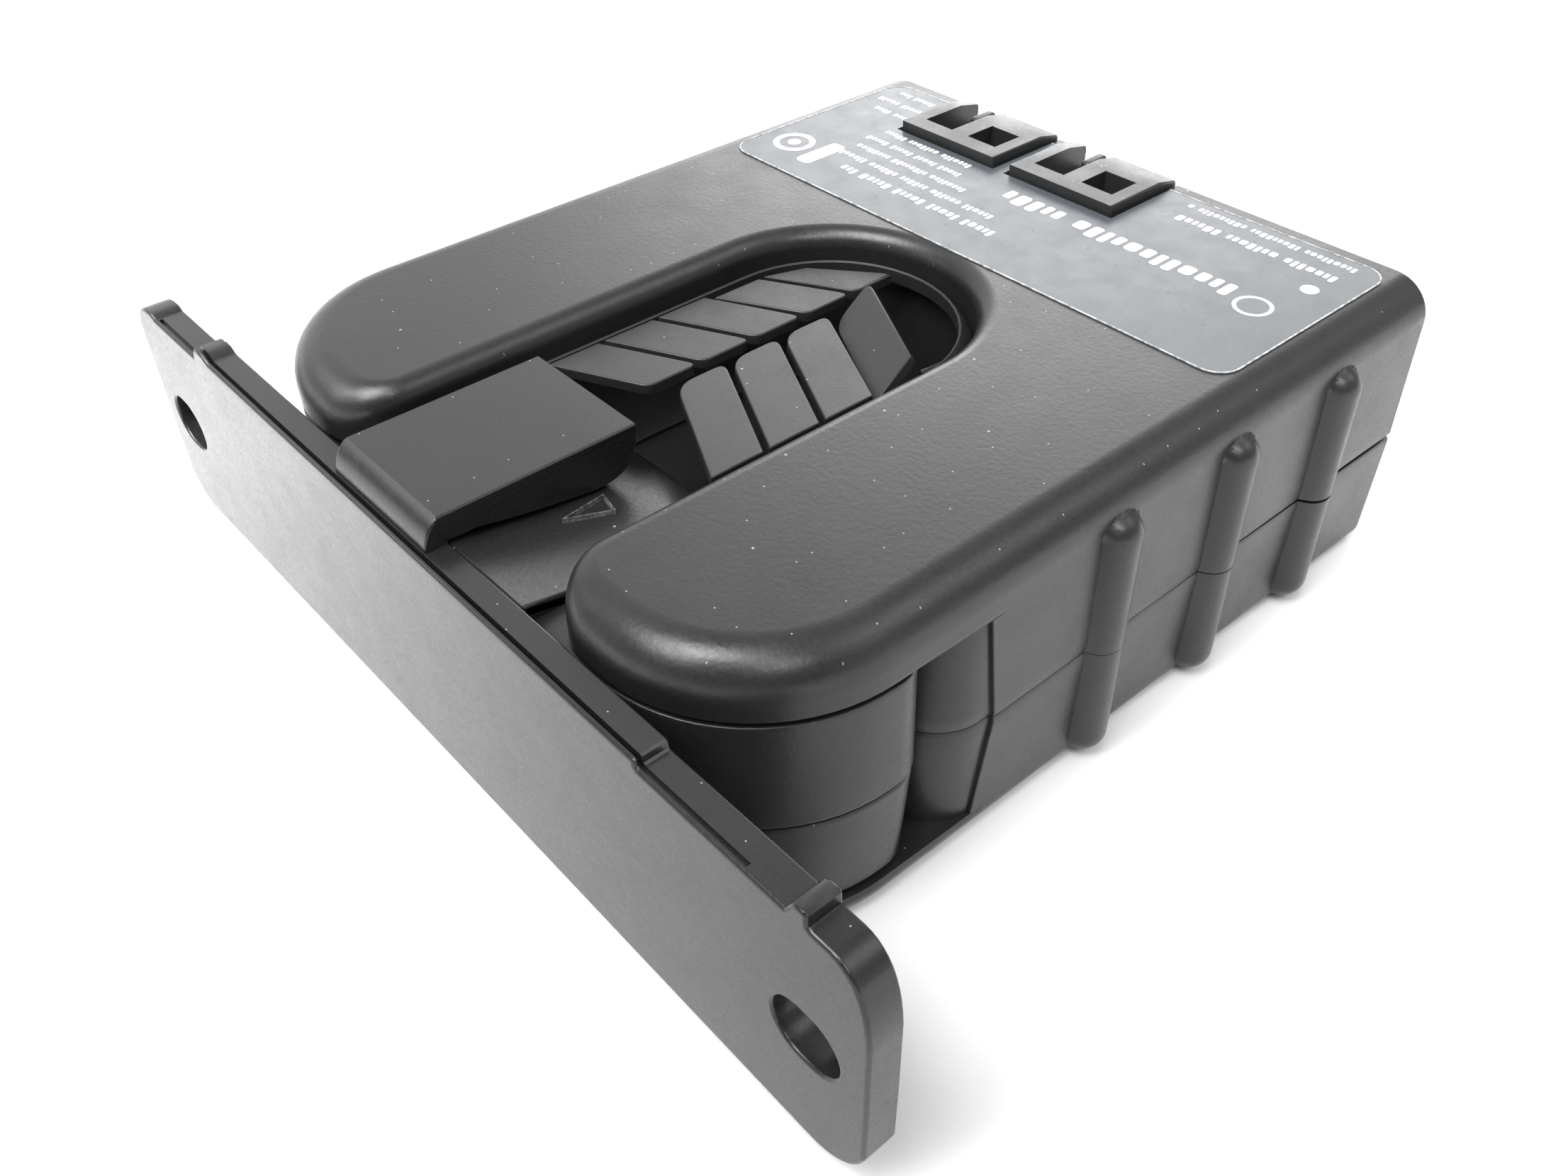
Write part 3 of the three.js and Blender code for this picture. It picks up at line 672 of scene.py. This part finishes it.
BAR_WIDTHS, BAR_HEIGHTS = (0.42, 0.62, 0.5, 0.36), (1, 0.74, 0.74, 1, 0.74)  # in shares of a row's height
BAR_GAP, GROUP_GAP = 0.2, 0.75
PRINT_ROWS = (  # right end, left end, y, height, bars in a group
    (19.4, -3.4, 59.3, 1.9, 12), (23.6, 8.6, 66.3, 1.0, 7), (23.9, 8.5, 68.6, 0.75, 9),
    (1.2, -16.6, 53.1, 1.0, 5), (-0.8, -19.4, 55.2, 0.8, 6), (-5.7, -19.4, 57.2, 0.75, 8),
    (-8.0, -19.6, 59.1, 0.75, 5), (-8.6, -19.0, 61.0, 0.75, 7), (-19.2, -24.4, 64.2, 0.75, 4),
    (-19.2, -25.2, 66.2, 0.75, 6), (-20.0, -24.8, 68.3, 0.75, 5),
)


def label_marks():
    """Plain bars stand in for the rows of print, and rings and discs for the marks beside them."""
    outlines = []
    for right, left, y, height, group in PRINT_ROWS:
        x, count = right, 0
        while x - 0.6 * height > left:
            width = height * BAR_WIDTHS[count * 3 % 4]
            tall = height * BAR_HEIGHTS[count * 2 % 5]
            base = y + (height - tall) / 2
            low, high = base - tall / 2, base + tall / 2
            outlines.append(rounded_rect(x - width, x, low, high, (width * 0.3,) * 4, 3))
            count += 1
            x -= width + height * (BAR_GAP if count % group else GROUP_GAP)
    outlines.append(rounded_rect(22.4, 23.8, 63.0, 64.4, (0.69,) * 4, 6))
    outlines.append(rounded_rect(-23.4, -22.2, 52.9, 54.1, (0.59,) * 4, 6))
    outlines.append(rounded_rect(-20.2, -18.6, 51.2, 56.0, (0.5,) * 4, 4))
    low, high = LABEL_HIGH.z - 0.05, LABEL_HIGH.z - 0.004
    parts = [prism("print", outline, low, high) for outline in outlines]
    for x, y, radius, width in ((21.7, 58.6, 1.5, 0.3), (-22.8, 53.5, 1.9, 0.55)):
        ring_mark = prism("print", [p[:2] for p in arc(x, y, radius, 0, 345, 23)], low, high)
        hole = prism("tool", [p[:2] for p in arc(x, y, radius - width, 0, 345, 23)], low - 1, high + 1)
        parts.append(cut(ring_mark, hole))
    finish_piece(gathered("label_print", parts), "sensor_body", INK, weighted=False)


# ---------- keeper ----------
KEEPER_TOP, KEEPER_BACK, BACK_CORNER = 19.4, 18.7, 3
CROWN_HALF, CROWN_FRONT, CROWN_MID, CROWN_MID_Y, CROWN_BACK = 10.4, 20.75, 19.05, 14.2, 20.2
CROWN_EDGE = 2.46  # just clear of the bracket's plate
CROWN_CURVE, CROWN_HEEL = (8.2, 19.6), (18.6, 18.2)  # what its slope bends towards, and where its back drops
CORE_FRONT, CORE_BACK = 8.2, 17.3


def keeper_plan():
    """The keeper's outline, round at the front like the arms."""
    radii = (ARM_OUTER, ARM_OUTER, BACK_CORNER, BACK_CORNER)
    return rounded_rect(-HALF, HALF, ARM_FRONT, KEEPER_BACK, radii, 16)


def keeper_rings(levels):
    """levels are (height, inset) pairs."""
    plan = keeper_plan()
    return [[(x, y, z) for x, y in (inset_outline(plan, inset) if inset else plan)] for z, inset in levels]


def hollow_keeper(shell):
    """Cuts the room for the keeper's core, and the windows for its two poles."""
    inside = block("tool", -CORE_OUT - CLEAR, CORE_OUT + CLEAR, CORE_FRONT - CLEAR, CORE_BACK + CLEAR,
                   CORE_LOW - CLEAR, CORE_HIGH + CLEAR)
    cut(shell, inside, *pole_tools(CORE_BACK, KEEPER_BACK + 1))


def keeper_top():
    """The upper keeper shell, with the crown that stands up between the arms."""
    shell = loft("keeper_top", keeper_rings([
        (PARTING + 0.04, 0.3), (PARTING + 0.08, 0.16), (PARTING + 0.2, 0.05), (PARTING + 0.4, 0), (15, 0.04),
        (KEEPER_TOP - 0.3, 0.1), (KEEPER_TOP - 0.1, 0.18), (KEEPER_TOP, 0.35)]))
    cut(shell, block("tool", -CROWN_HALF, CROWN_HALF, -5, 40, CORE_HIGH, 40))
    profile = [(ARM_FRONT, PARTING + 2), (ARM_FRONT, 18.2), (CROWN_EDGE, 18.8),
               (CROWN_EDGE, CROWN_FRONT - 0.12)]
    profile += bezier([(CROWN_EDGE + 0.12, CROWN_FRONT), CROWN_CURVE, (CROWN_MID_Y, CROWN_MID)], 10)
    profile += bezier([(CROWN_MID_Y, CROWN_MID), (17.2, 18.75), CROWN_HEEL], 6)[1:]
    profile += bezier([CROWN_HEEL, (20.1, 17.6), (CROWN_BACK, 15.9)], 6)[1:]
    profile += [(CROWN_BACK, PARTING + 2)]
    crown = prism("tool", profile, -CROWN_HALF, CROWN_HALF, 0.25, 0.25, axis="x")
    join(shell, crown)
    hollow_keeper(shell)
    finish_piece(shell, "keeper", CASE, ["keeper_upper_shell"])
    arrow_mark()


def crown_height(y):
    """Height of the crown's surface in front of its heel."""
    t = (y - CROWN_EDGE) / (CROWN_MID_Y - CROWN_EDGE)
    return CROWN_FRONT * (1 - t) ** 2 + CROWN_CURVE[1] * 2 * t * (1 - t) + CROWN_MID * t * t


def arrow_mark():
    """Three thin raised ridges in a triangle that points to the bracket, in a light tone that paints their
    highlight.
    """
    tip, left, right = (3.9, 9.7), (3.0, 13.5), (4.95, 13.1)
    half_width, top_share, sunk, proud = 0.09, 0.4, 0.3, 0.34
    ridges = []
    for start, end in ((tip, left), (left, right), (right, tip)):
        a, b = Vector(start), Vector(end)
        side = Vector((a.y - b.y, b.x - a.x)).normalized() * half_width
        points = []
        for p in (a - side, a + side, b + side, b - side):
            points.append((p.x, p.y, crown_height(p.y) - sunk))
        side *= top_share
        for p in (a - side, a + side, b + side, b - side):
            points.append((p.x, p.y, crown_height(p.y) + proud))
        faces = [(0, 1, 2, 3), (4, 7, 6, 5), (0, 4, 5, 1), (1, 5, 6, 2), (2, 6, 7, 3), (3, 7, 4, 0)]
        ridges.append(mesh_object("arrow_mark", points, faces))
    finish_piece(gathered("arrow_mark", ridges), "keeper", RIDGE_GLINT, weighted=False)


def keeper_bottom():
    """The lower keeper shell, which tapers a little towards its foot."""
    low = KEEPER_LOW.z
    shell = loft("keeper_bottom", keeper_rings([
        (low, 1.0), (low + 0.12, 0.75), (low + 0.4, 0.6), (6, 0.35), (PARTING - 0.4, 0.08),
        (PARTING - 0.2, 0.1), (PARTING - 0.08, 0.18), (PARTING - 0.04, 0.35)]))
    hollow_keeper(shell)
    finish_piece(shell, "keeper", CASE, ["keeper_lower_shell"])


# ---------- bracket ----------
PLATE_HALF, PLATE_BOTTOM, PLATE_TOP, PLATE_THICK = PLATE_HIGH.x, PLATE_LOW.z, 20.9, 2.4
SLOT_X, SLOT_Z, SLOT_RADIUS, SLOT_REACH = 38.1, 10.8, 2.15, 0.45
END_TOP = 20.3
TAB_LEFT, TAB_RIGHT, TAB_BACK = -9.6, 2.3, 17.2
TAB_TOP = PLATE_HIGH.z
GROOVE_FRONT, GROOVE_BACK, GROOVE_FLOOR, GROOVE_LEFT, GROOVE_RIGHT = 0.3, 0.62, 20.0, -38.2, 33.6


def obround(x, z, radius, reach):
    """A slot's outline, with round ends."""
    return ([p[:2] for p in arc(x + reach, z, radius, -90, 90, 14)]
            + [p[:2] for p in arc(x - reach, z, radius, 90, 270, 14)])


def plate_outline():
    """The front view of the plate. Its top edge has a small step, a recess and a raised end stop."""
    points = [p[:2] for p in arc(-PLATE_HALF + 3.4, PLATE_BOTTOM + 3.4, 3.4, 180, 270, 10)]
    points += [p[:2] for p in arc(PLATE_HALF - 4.2, PLATE_BOTTOM + 4.2, 4.2, 270, 350, 12)]
    points += [(PLATE_HALF, 9), (PLATE_HALF, 14.4)]
    points += bezier([(PLATE_HALF, 15.2), (PLATE_HALF - 0.3, 20.1), (PLATE_HALF - 2.9, END_TOP)], 10)
    points += [(38.6, END_TOP), (38.35, END_TOP + 0.1), (38.3, PLATE_TOP + 0.25)]
    points += [(38.05, PLATE_TOP + 0.45), (37.6, PLATE_TOP + 0.45), (37.2, PLATE_TOP + 0.3), (36.6, END_TOP)]
    points += [(24.95, END_TOP), (24.8, END_TOP + 0.12), (24.7, PLATE_TOP - 0.1), (24.55, PLATE_TOP)]
    points += [(-28, PLATE_TOP), (-28.4, PLATE_TOP + 0.1), (-28.9, PLATE_TOP + 0.4),
               (-29.6, PLATE_TOP + 0.45), (-30.6, PLATE_TOP + 0.3), (-31.1, END_TOP)]
    points += [(-38.4, END_TOP), (-38.8, END_TOP + 0.25)]
    points += bezier([(-39.3, END_TOP + 0.3), (-PLATE_HALF + 0.1, END_TOP + 0.3),
                      (-PLATE_HALF, END_TOP - 3)], 8)
    return points


def slot_tool(x):
    """A slot whose two rims are slightly rounded."""
    rims = [(-1, 0.22), (0, 0.22), (0.03, 0.14), (0.1, 0.05), (0.22, 0)]
    levels = rims + [(PLATE_THICK - y, grow) for y, grow in reversed(rims)]
    return loft("tool", [[(u, y, v) for u, v in obround(x, SLOT_Z, SLOT_RADIUS + grow, SLOT_REACH)]
                         for y, grow in levels])


def bracket():
    """The slotted plate with a fine groove along its top, and the tab that hooks over the crown."""
    plate = prism("clip_bracket", plate_outline(), 0, PLATE_THICK, 0.28, 0.15, axis="y", steps=4)
    groove = block("tool", GROOVE_LEFT, GROOVE_RIGHT, GROOVE_FRONT, GROOVE_BACK, GROOVE_FLOOR, TAB_TOP + 1)
    cut(plate, slot_tool(-SLOT_X), slot_tool(SLOT_X), groove)
    heel = CROWN_MID + CLEAR
    hook = [(PLATE_THICK, 19.4), (PLATE_THICK, CROWN_FRONT + CLEAR), (3.2, CROWN_FRONT + CLEAR - 0.1)]
    hook += bezier([(4.5, 20.95), (8.6, 19.95), (13.6, heel)], 8)
    hook += bezier([(14.2, heel), (16.6, heel + 0.1), (17.1, 21.6)], 8)
    hook += [(TAB_BACK, 22.7), (TAB_BACK - 0.04, TAB_TOP - 0.06), (TAB_BACK - 0.1, TAB_TOP)]
    hook += bezier([(2.0, TAB_TOP), (0.95, 22.5), (0.7, 21.0)], 8)
    hook += [(0.7, 19.4)]
    tab = prism("tool", hook, TAB_LEFT, TAB_RIGHT, 0.35, 0.18, axis="x", steps=4)
    join(plate, tab)
    finish_piece(plate, "bracket", BRACKET, ["mounting_bracket"], sharp=30)


# ---------- iris ----------
FINGERS, ROOT = 5, 9.35
TIP = {"left": 2.1, "right": -0.9}  # how far each side's tips stop short of the middle
FIRST, FINGER_PITCH, FINGER_WIDTH, SLOPE = 17.7, 5, 4.6, 0.5
FINGER_SHIFT, FINGER_TRIM, END_GAP = 0.1, 0.15, 0.6  # what keeps a finger clear of its neighbours
TIP_ROUNDS = {"left": (0.7, 0.8), "right": (1.5, 1.0)}  # rounding of a tip's front and back corners
FINGER_LOW, FINGER_HIGH = 21.25, 22.1
BENT = {"right_4": (34, 0), "right_5": (0, 50)}  # turn about its length, drop about its root, in degrees


def band(half, front):
    """An open U from the right front, round the window's end, to the left front."""
    return [(half, front)] + [p[:2] for p in arc(0, WINDOW_END, half, 0, 180, 24)] + [(-half, front)]


def iris_frame():
    """A rim whose top slopes down and outwards from the roots of the fingers."""
    front = FRAME_LOW.y
    outer, top = FRAME_HIGH.x, FINGER_HIGH - 0.05
    shape = ((outer, FRAME_LOW.z), (outer, top - 1.1), (outer - 0.75, top - 0.1), (outer - 0.85, top),
             (outer - 1, top - 0.1), (outer - 1, FRAME_LOW.z))
    rings = []
    for half, z in shape:
        rings.append([(x, y, z) for x, y in band(half, front)])
    n, m = len(rings[0]), len(shape)
    points = [p for r in rings for p in r]
    faces = [(k * n + i, k * n + i + 1, (k + 1) % m * n + i + 1, (k + 1) % m * n + i)
             for k in range(m) for i in range(n - 1)]
    faces += [tuple(k * n for k in range(m)), tuple(k * n + n - 1 for k in range(m))]
    rim = mesh_object("iris_rim", points, faces)
    # the rim's darker plastic is painted shade
    finish_piece(rim, "sensor_body", SHADED_RIM, ["iris_frame"], weighted=False)


def finger_plan(side, number):
    """A slanted finger with a rounded tip, kept inside the frame's curved end."""
    tip = TIP[side]
    low = FIRST + (number - 1) * FINGER_PITCH + FINGER_SHIFT
    high = low + FINGER_WIDTH - FINGER_TRIM
    end = SLOPE * (ROOT - tip)
    front, back = TIP_ROUNDS[side]
    points = [(ROOT, low), (ROOT, high)]
    low, high = low + end, high + end
    points += bezier([(tip + back, high - back * SLOPE), (tip, high), (tip, high - back)], 8)
    points += bezier([(tip, low + front), (tip, low), (tip + front, low - front * SLOPE)], 8)
    if number < FINGERS - 1:
        return points
    limit = ROOT - END_GAP
    kept = []
    for x, y in points:
        d = math.hypot(x, max(0, y - WINDOW_END))
        if d > limit and y > WINDOW_END:
            x, y = x * limit / d, WINDOW_END + (y - WINDOW_END) * limit / d
        kept.append((min(x, limit), y))
    return kept


def finger(side, number):
    """A right-hand finger, bent if it is listed so, or its mirror image on the left."""
    name = f"{side}_{number}"
    obj = prism("finger_" + name, finger_plan(side, number), FINGER_LOW, FINGER_HIGH, 0.1, 0.14, steps=4)
    y = FIRST + (number - 1) * FINGER_PITCH
    if name in BENT:
        turn, drop = BENT[name]
        root = to_frame(ROOT, y + FINGER_WIDTH / 2, (FINGER_LOW + FINGER_HIGH) / 2)
        along = Vector((-1, SLOPE, 0)).normalized()
        bend = (Matrix.Translation(root) @ Matrix.Rotation(-math.radians(drop), 4, "Y")
                @ Matrix.Rotation(-math.radians(turn), 4, along) @ Matrix.Translation(-root))
        obj.data.transform(bend)
    if side == "left":
        obj.data.transform(Matrix.Scale(-1, 4, Vector((1, 0, 0))))
        obj.data.flip_normals()
    finish_piece(obj, "finger_" + name, IRIS, ["iris_finger_" + name])


# ---------- terminals ----------
WELL_HALF, WELL_Y, WELL_FLOOR, WIRE_WAY = 1.6, 65.8, 15.6, 4.6
WELL_NOTCH = 22.4  # the first well is open to the back above this height
PAST_BACK, PAST_TOP = 90, 40  # cutting tools reach this far out of the blocks


def terminal_block(side, x):
    """A two-way block with its wells, its wire ways and a small upright key at the back."""
    low, high = corners("terminal_block_" + side)
    name = "terminal_" + side
    profile = [(low.y, low.z), (high.y, low.z), (high.y, high.z - 0.75), (high.y - 0.15, high.z - 0.5),
               (high.y - 2.4, high.z), (low.y, high.z)]
    body = prism(name, profile, low.x, high.x, 0.18, 0.18, axis="x")
    tools = []
    for k in (-0.5, 0.5):
        x0, x1 = x + k * PITCH - WELL_HALF, x + k * PITCH + WELL_HALF
        tools.append(block("tool", x0, x1, WELL_Y - WELL_HALF, WELL_Y + WELL_HALF, WELL_FLOOR, PAST_TOP))
        tools.append(block("tool", x0, x1, WELL_Y, PAST_BACK, WELL_FLOOR, WELL_FLOOR + WIRE_WAY))
        if k < 0:
            tools.append(block("tool", x0, x1, WELL_Y, PAST_BACK, WELL_NOTCH, PAST_TOP))
    cut(body, *tools)
    finish_piece(body, "sensor_body", TERMINAL, ["terminal_block_" + side])
    key_plan = rounded_rect(x - 2.0, x - 0.98, 67.6, 70.2, (0.35,) * 4, 5)
    key = prism(name + "_key", key_plan, 20, high.z - 0.1, 0, 0.3)
    finish_piece(key, "sensor_body", TERMINAL)


def screw(number):
    """A slotted cheese-head screw with a chamfered rim."""
    low, high = corners(f"terminal_screw_{number}")
    cx, cy = (low.x + high.x) / 2, (low.y + high.y) / 2
    head, shaft, head_high, axis = (high.x - low.x) / 2, 0.75, 1.2, 0.001
    thread_pitch, thread_depth, sides = 0.25, 0.13, 32
    profile = [(axis, low.z), (shaft - 0.2, low.z), (shaft, low.z + 0.25)]
    z = low.z + 0.3
    while z < high.z - 1.5:
        profile += [(shaft, z), (shaft - thread_depth, z + thread_pitch / 2)]
        z += thread_pitch
    under = high.z - head_high
    profile += [(shaft, under), (head - 0.12, under), (head, high.z - 1.08), (head, high.z - 0.25),
                (head - 0.22, high.z - 0.04), (head - 0.4, high.z), (axis, high.z)]
    rings = [[(cx + r * math.cos(2 * math.pi * k / sides), cy + r * math.sin(2 * math.pi * k / sides), z)
              for k in range(sides)] for r, z in profile]
    made = loft(f"slotted_screw_{number}", rings)
    cut(made, block("tool", cx - 0.25, cx + 0.25, cy - 3, cy + 3, high.z - 0.6, high.z + 2))
    finish_piece(made, f"screw_{number}", STEEL, [f"terminal_screw_{number}"], weighted=False)


# ---------- CAD nodes that keep their shape ----------
def keep(node, material, width):
    """A CAD node with a better material and edges softened over width."""
    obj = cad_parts[node]
    obj.data.materials.clear()
    obj.data.materials.append(material)
    weld = obj.modifiers.new("weld", "WELD")
    weld.merge_threshold = SLIVER * MM
    bevel = obj.modifiers.new("edges", "BEVEL")
    bevel.width, bevel.segments, bevel.limit_method = width * MM, 2, "ANGLE"
    bevel.angle_limit = math.radians(40)


# ---------- stage ----------
AMBIENT = 0.5
FLOOR_REACH = 6.0  # metres
CARD_X, CARD_Y, CARD_Z, CARD_RADIUS = 78, -93, 140, 50
FILL_PLACE, FILL_AIM = (-68, -36, 44), (-52, -8, 0)
FILL_SIZE, FILL_WATTS, FILL_SPREAD = 0.06, 0.02, math.radians(80)
LENS, SENSOR, CAMERA_PLACE = 32.17, 36, (67.81, -26.14, 75.6)
CAMERA_RIGHT, CAMERA_DOWN = (0.6590, 0.7520, -0.0146), (0.4839, -0.4388, -0.7571)
CAMERA_AHEAD = (-0.5758, 0.4919, -0.6531)
GLOWS = (  # soft glows all round: toward, inner and outer angle in degrees, strength (below 0 is shade)
    ((-0.55, 0.75, 0.22), 6, 26, 4.6),
    ((-0.85, 0.30, 0.40), 10, 50, 0.8),
    ((0.0, -0.50, 0.86), 5, 26, 15.5),
    ((0.47, 0.49, 0.74), 4, 22, 2.2),
    ((0.60, -0.65, 0.42), 15, 60, -0.45),
    ((0.54, -0.31, 0.78), 3, 14, 10.0),
)


def pale_floor():
    """A wide floor, nearly white, with faint clouds."""
    floor_mesh = bpy.data.meshes.new("floor")
    r = FLOOR_REACH
    floor_mesh.from_pydata([(-r, -r, 0), (r, -r, 0), (r, r, 0), (-r, r, 0)], [], [(0, 1, 2, 3)])
    floor = bpy.data.objects.new("floor", floor_mesh)
    bpy.context.scene.collection.objects.link(floor)
    s = Shader("pale_floor")
    clouds = s.fit(s.noise(60, 3), 0.3, 0.7, 0, 1)
    s.link(s.mix(clouds, (0.90, 0.90, 0.90, 1), (0.87, 0.87, 0.875, 1)), "Base Color")
    s.set(Roughness=0.7)
    floor_mesh.materials.append(s.material)


def surroundings():
    """The world's light: an even share, and the glows added to it one after another."""
    world = bpy.data.worlds.new("studio")
    bpy.context.scene.world = world
    world.use_nodes = True
    nodes, links = world.node_tree.nodes, world.node_tree.links
    place = nodes.new("ShaderNodeTexCoord").outputs["Generated"]
    total = None
    for toward, inner, outer, strength in GLOWS:
        facing = nodes.new("ShaderNodeVectorMath")
        facing.operation = "DOT_PRODUCT"
        links.new(place, facing.inputs[0])
        facing.inputs[1].default_value = Vector(toward).normalized()
        glow = nodes.new("ShaderNodeMapRange")
        glow.interpolation_type = "SMOOTHSTEP"
        links.new(facing.outputs["Value"], glow.inputs["Value"])
        glow.inputs["From Min"].default_value = math.cos(math.radians(outer))
        glow.inputs["From Max"].default_value = math.cos(math.radians(inner))
        glow.inputs["To Max"].default_value = strength
        if total is None:
            glow.inputs["To Min"].default_value = AMBIENT
            glow.inputs["To Max"].default_value = AMBIENT + strength
            total = glow.outputs["Result"]
            continue
        add = nodes.new("ShaderNodeMath")
        links.new(total, add.inputs[0])
        links.new(glow.outputs["Result"], add.inputs[1])
        total = add.outputs["Value"]
    links.new(total, nodes["Background"].inputs["Strength"])
    nodes["Background"].inputs["Color"].default_value = (1, 1, 1, 1)


def shade():
    """A dark card high up at the right front, which dims the overhead light on the floor there."""
    outline = [to_frame(*p[:2], CARD_Z) for p in arc(CARD_X, CARD_Y, CARD_RADIUS, 0, 345, 23)]
    mesh = bpy.data.meshes.new("dark_card")
    mesh.from_pydata(outline, [], [tuple(range(len(outline)))])
    card = bpy.data.objects.new("dark_card", mesh)
    bpy.context.scene.collection.objects.link(card)
    s = Shader("dark_card")
    s.link(s.mix(s.noise(20), grey(0.02), grey(0.03)), "Base Color")
    mesh.materials.append(s.material)
    card.visible_camera = False


def fill_light():
    """A small soft light low over the floor at the bracket's left end."""
    data = bpy.data.lights.new("fill_light", "AREA")
    data.size, data.energy, data.spread = FILL_SIZE, FILL_WATTS, FILL_SPREAD
    obj = bpy.data.objects.new("fill_light", data)
    obj.location = to_frame(*FILL_PLACE)
    aim = to_frame(*FILL_AIM) - obj.location
    obj.rotation_euler = aim.to_track_quat("-Z", "Y").to_euler()
    obj.visible_camera = False
    bpy.context.scene.collection.objects.link(obj)


def camera():
    """Low over the right front corner of the bracket, looking down to the left and back."""
    data = bpy.data.cameras.new("camera")
    data.sensor_fit, data.sensor_width, data.lens = "HORIZONTAL", SENSOR, LENS
    data.clip_start, data.clip_end = 0.001, 20
    obj = bpy.data.objects.new("camera", data)
    right, down, ahead = (Vector(v).normalized() for v in (CAMERA_RIGHT, CAMERA_DOWN, CAMERA_AHEAD))
    turn = Matrix((right, -down, -ahead)).transposed().to_4x4()
    obj.matrix_world = Matrix.Translation(to_frame(*CAMERA_PLACE)) @ turn
    bpy.context.scene.collection.objects.link(obj)
    bpy.context.scene.camera = obj


camera()
top_cover()
bottom_case()
label()
label_edge()
label_marks()
keeper_top()
keeper_bottom()
bracket()
iris_frame()
for side in ("left", "right"):
    for number in range(1, FINGERS + 1):
        finger(side, number)
for side, x in zip(("left", "right"), BLOCK_XS):
    terminal_block(side, x)
for number in range(1, SCREWS + 1):
    screw(number)
    keep(f"wire_clamp_{number}", STEEL, 0.08)
    keep(f"terminal_contact_{number}", BRASS, 0.05)
keep("fixed_core", CORE, 0.15)
keep("keeper_core", CORE, 0.15)
keep("coil_bobbin", NYLON, 0.12)
keep("coil_winding", COPPER, 0.25)
keep("circuit_board", BOARD, 0.05)
keep("relay", BLUE_CASE, 0.3)
keep("controller_chip", EPOXY, 0.12)
keep("capacitor", BLUE_CASE, 0.3)
bpy.context.scene.view_settings.view_transform = "Standard"
pale_floor()
shade()
fill_light()
surroundings()
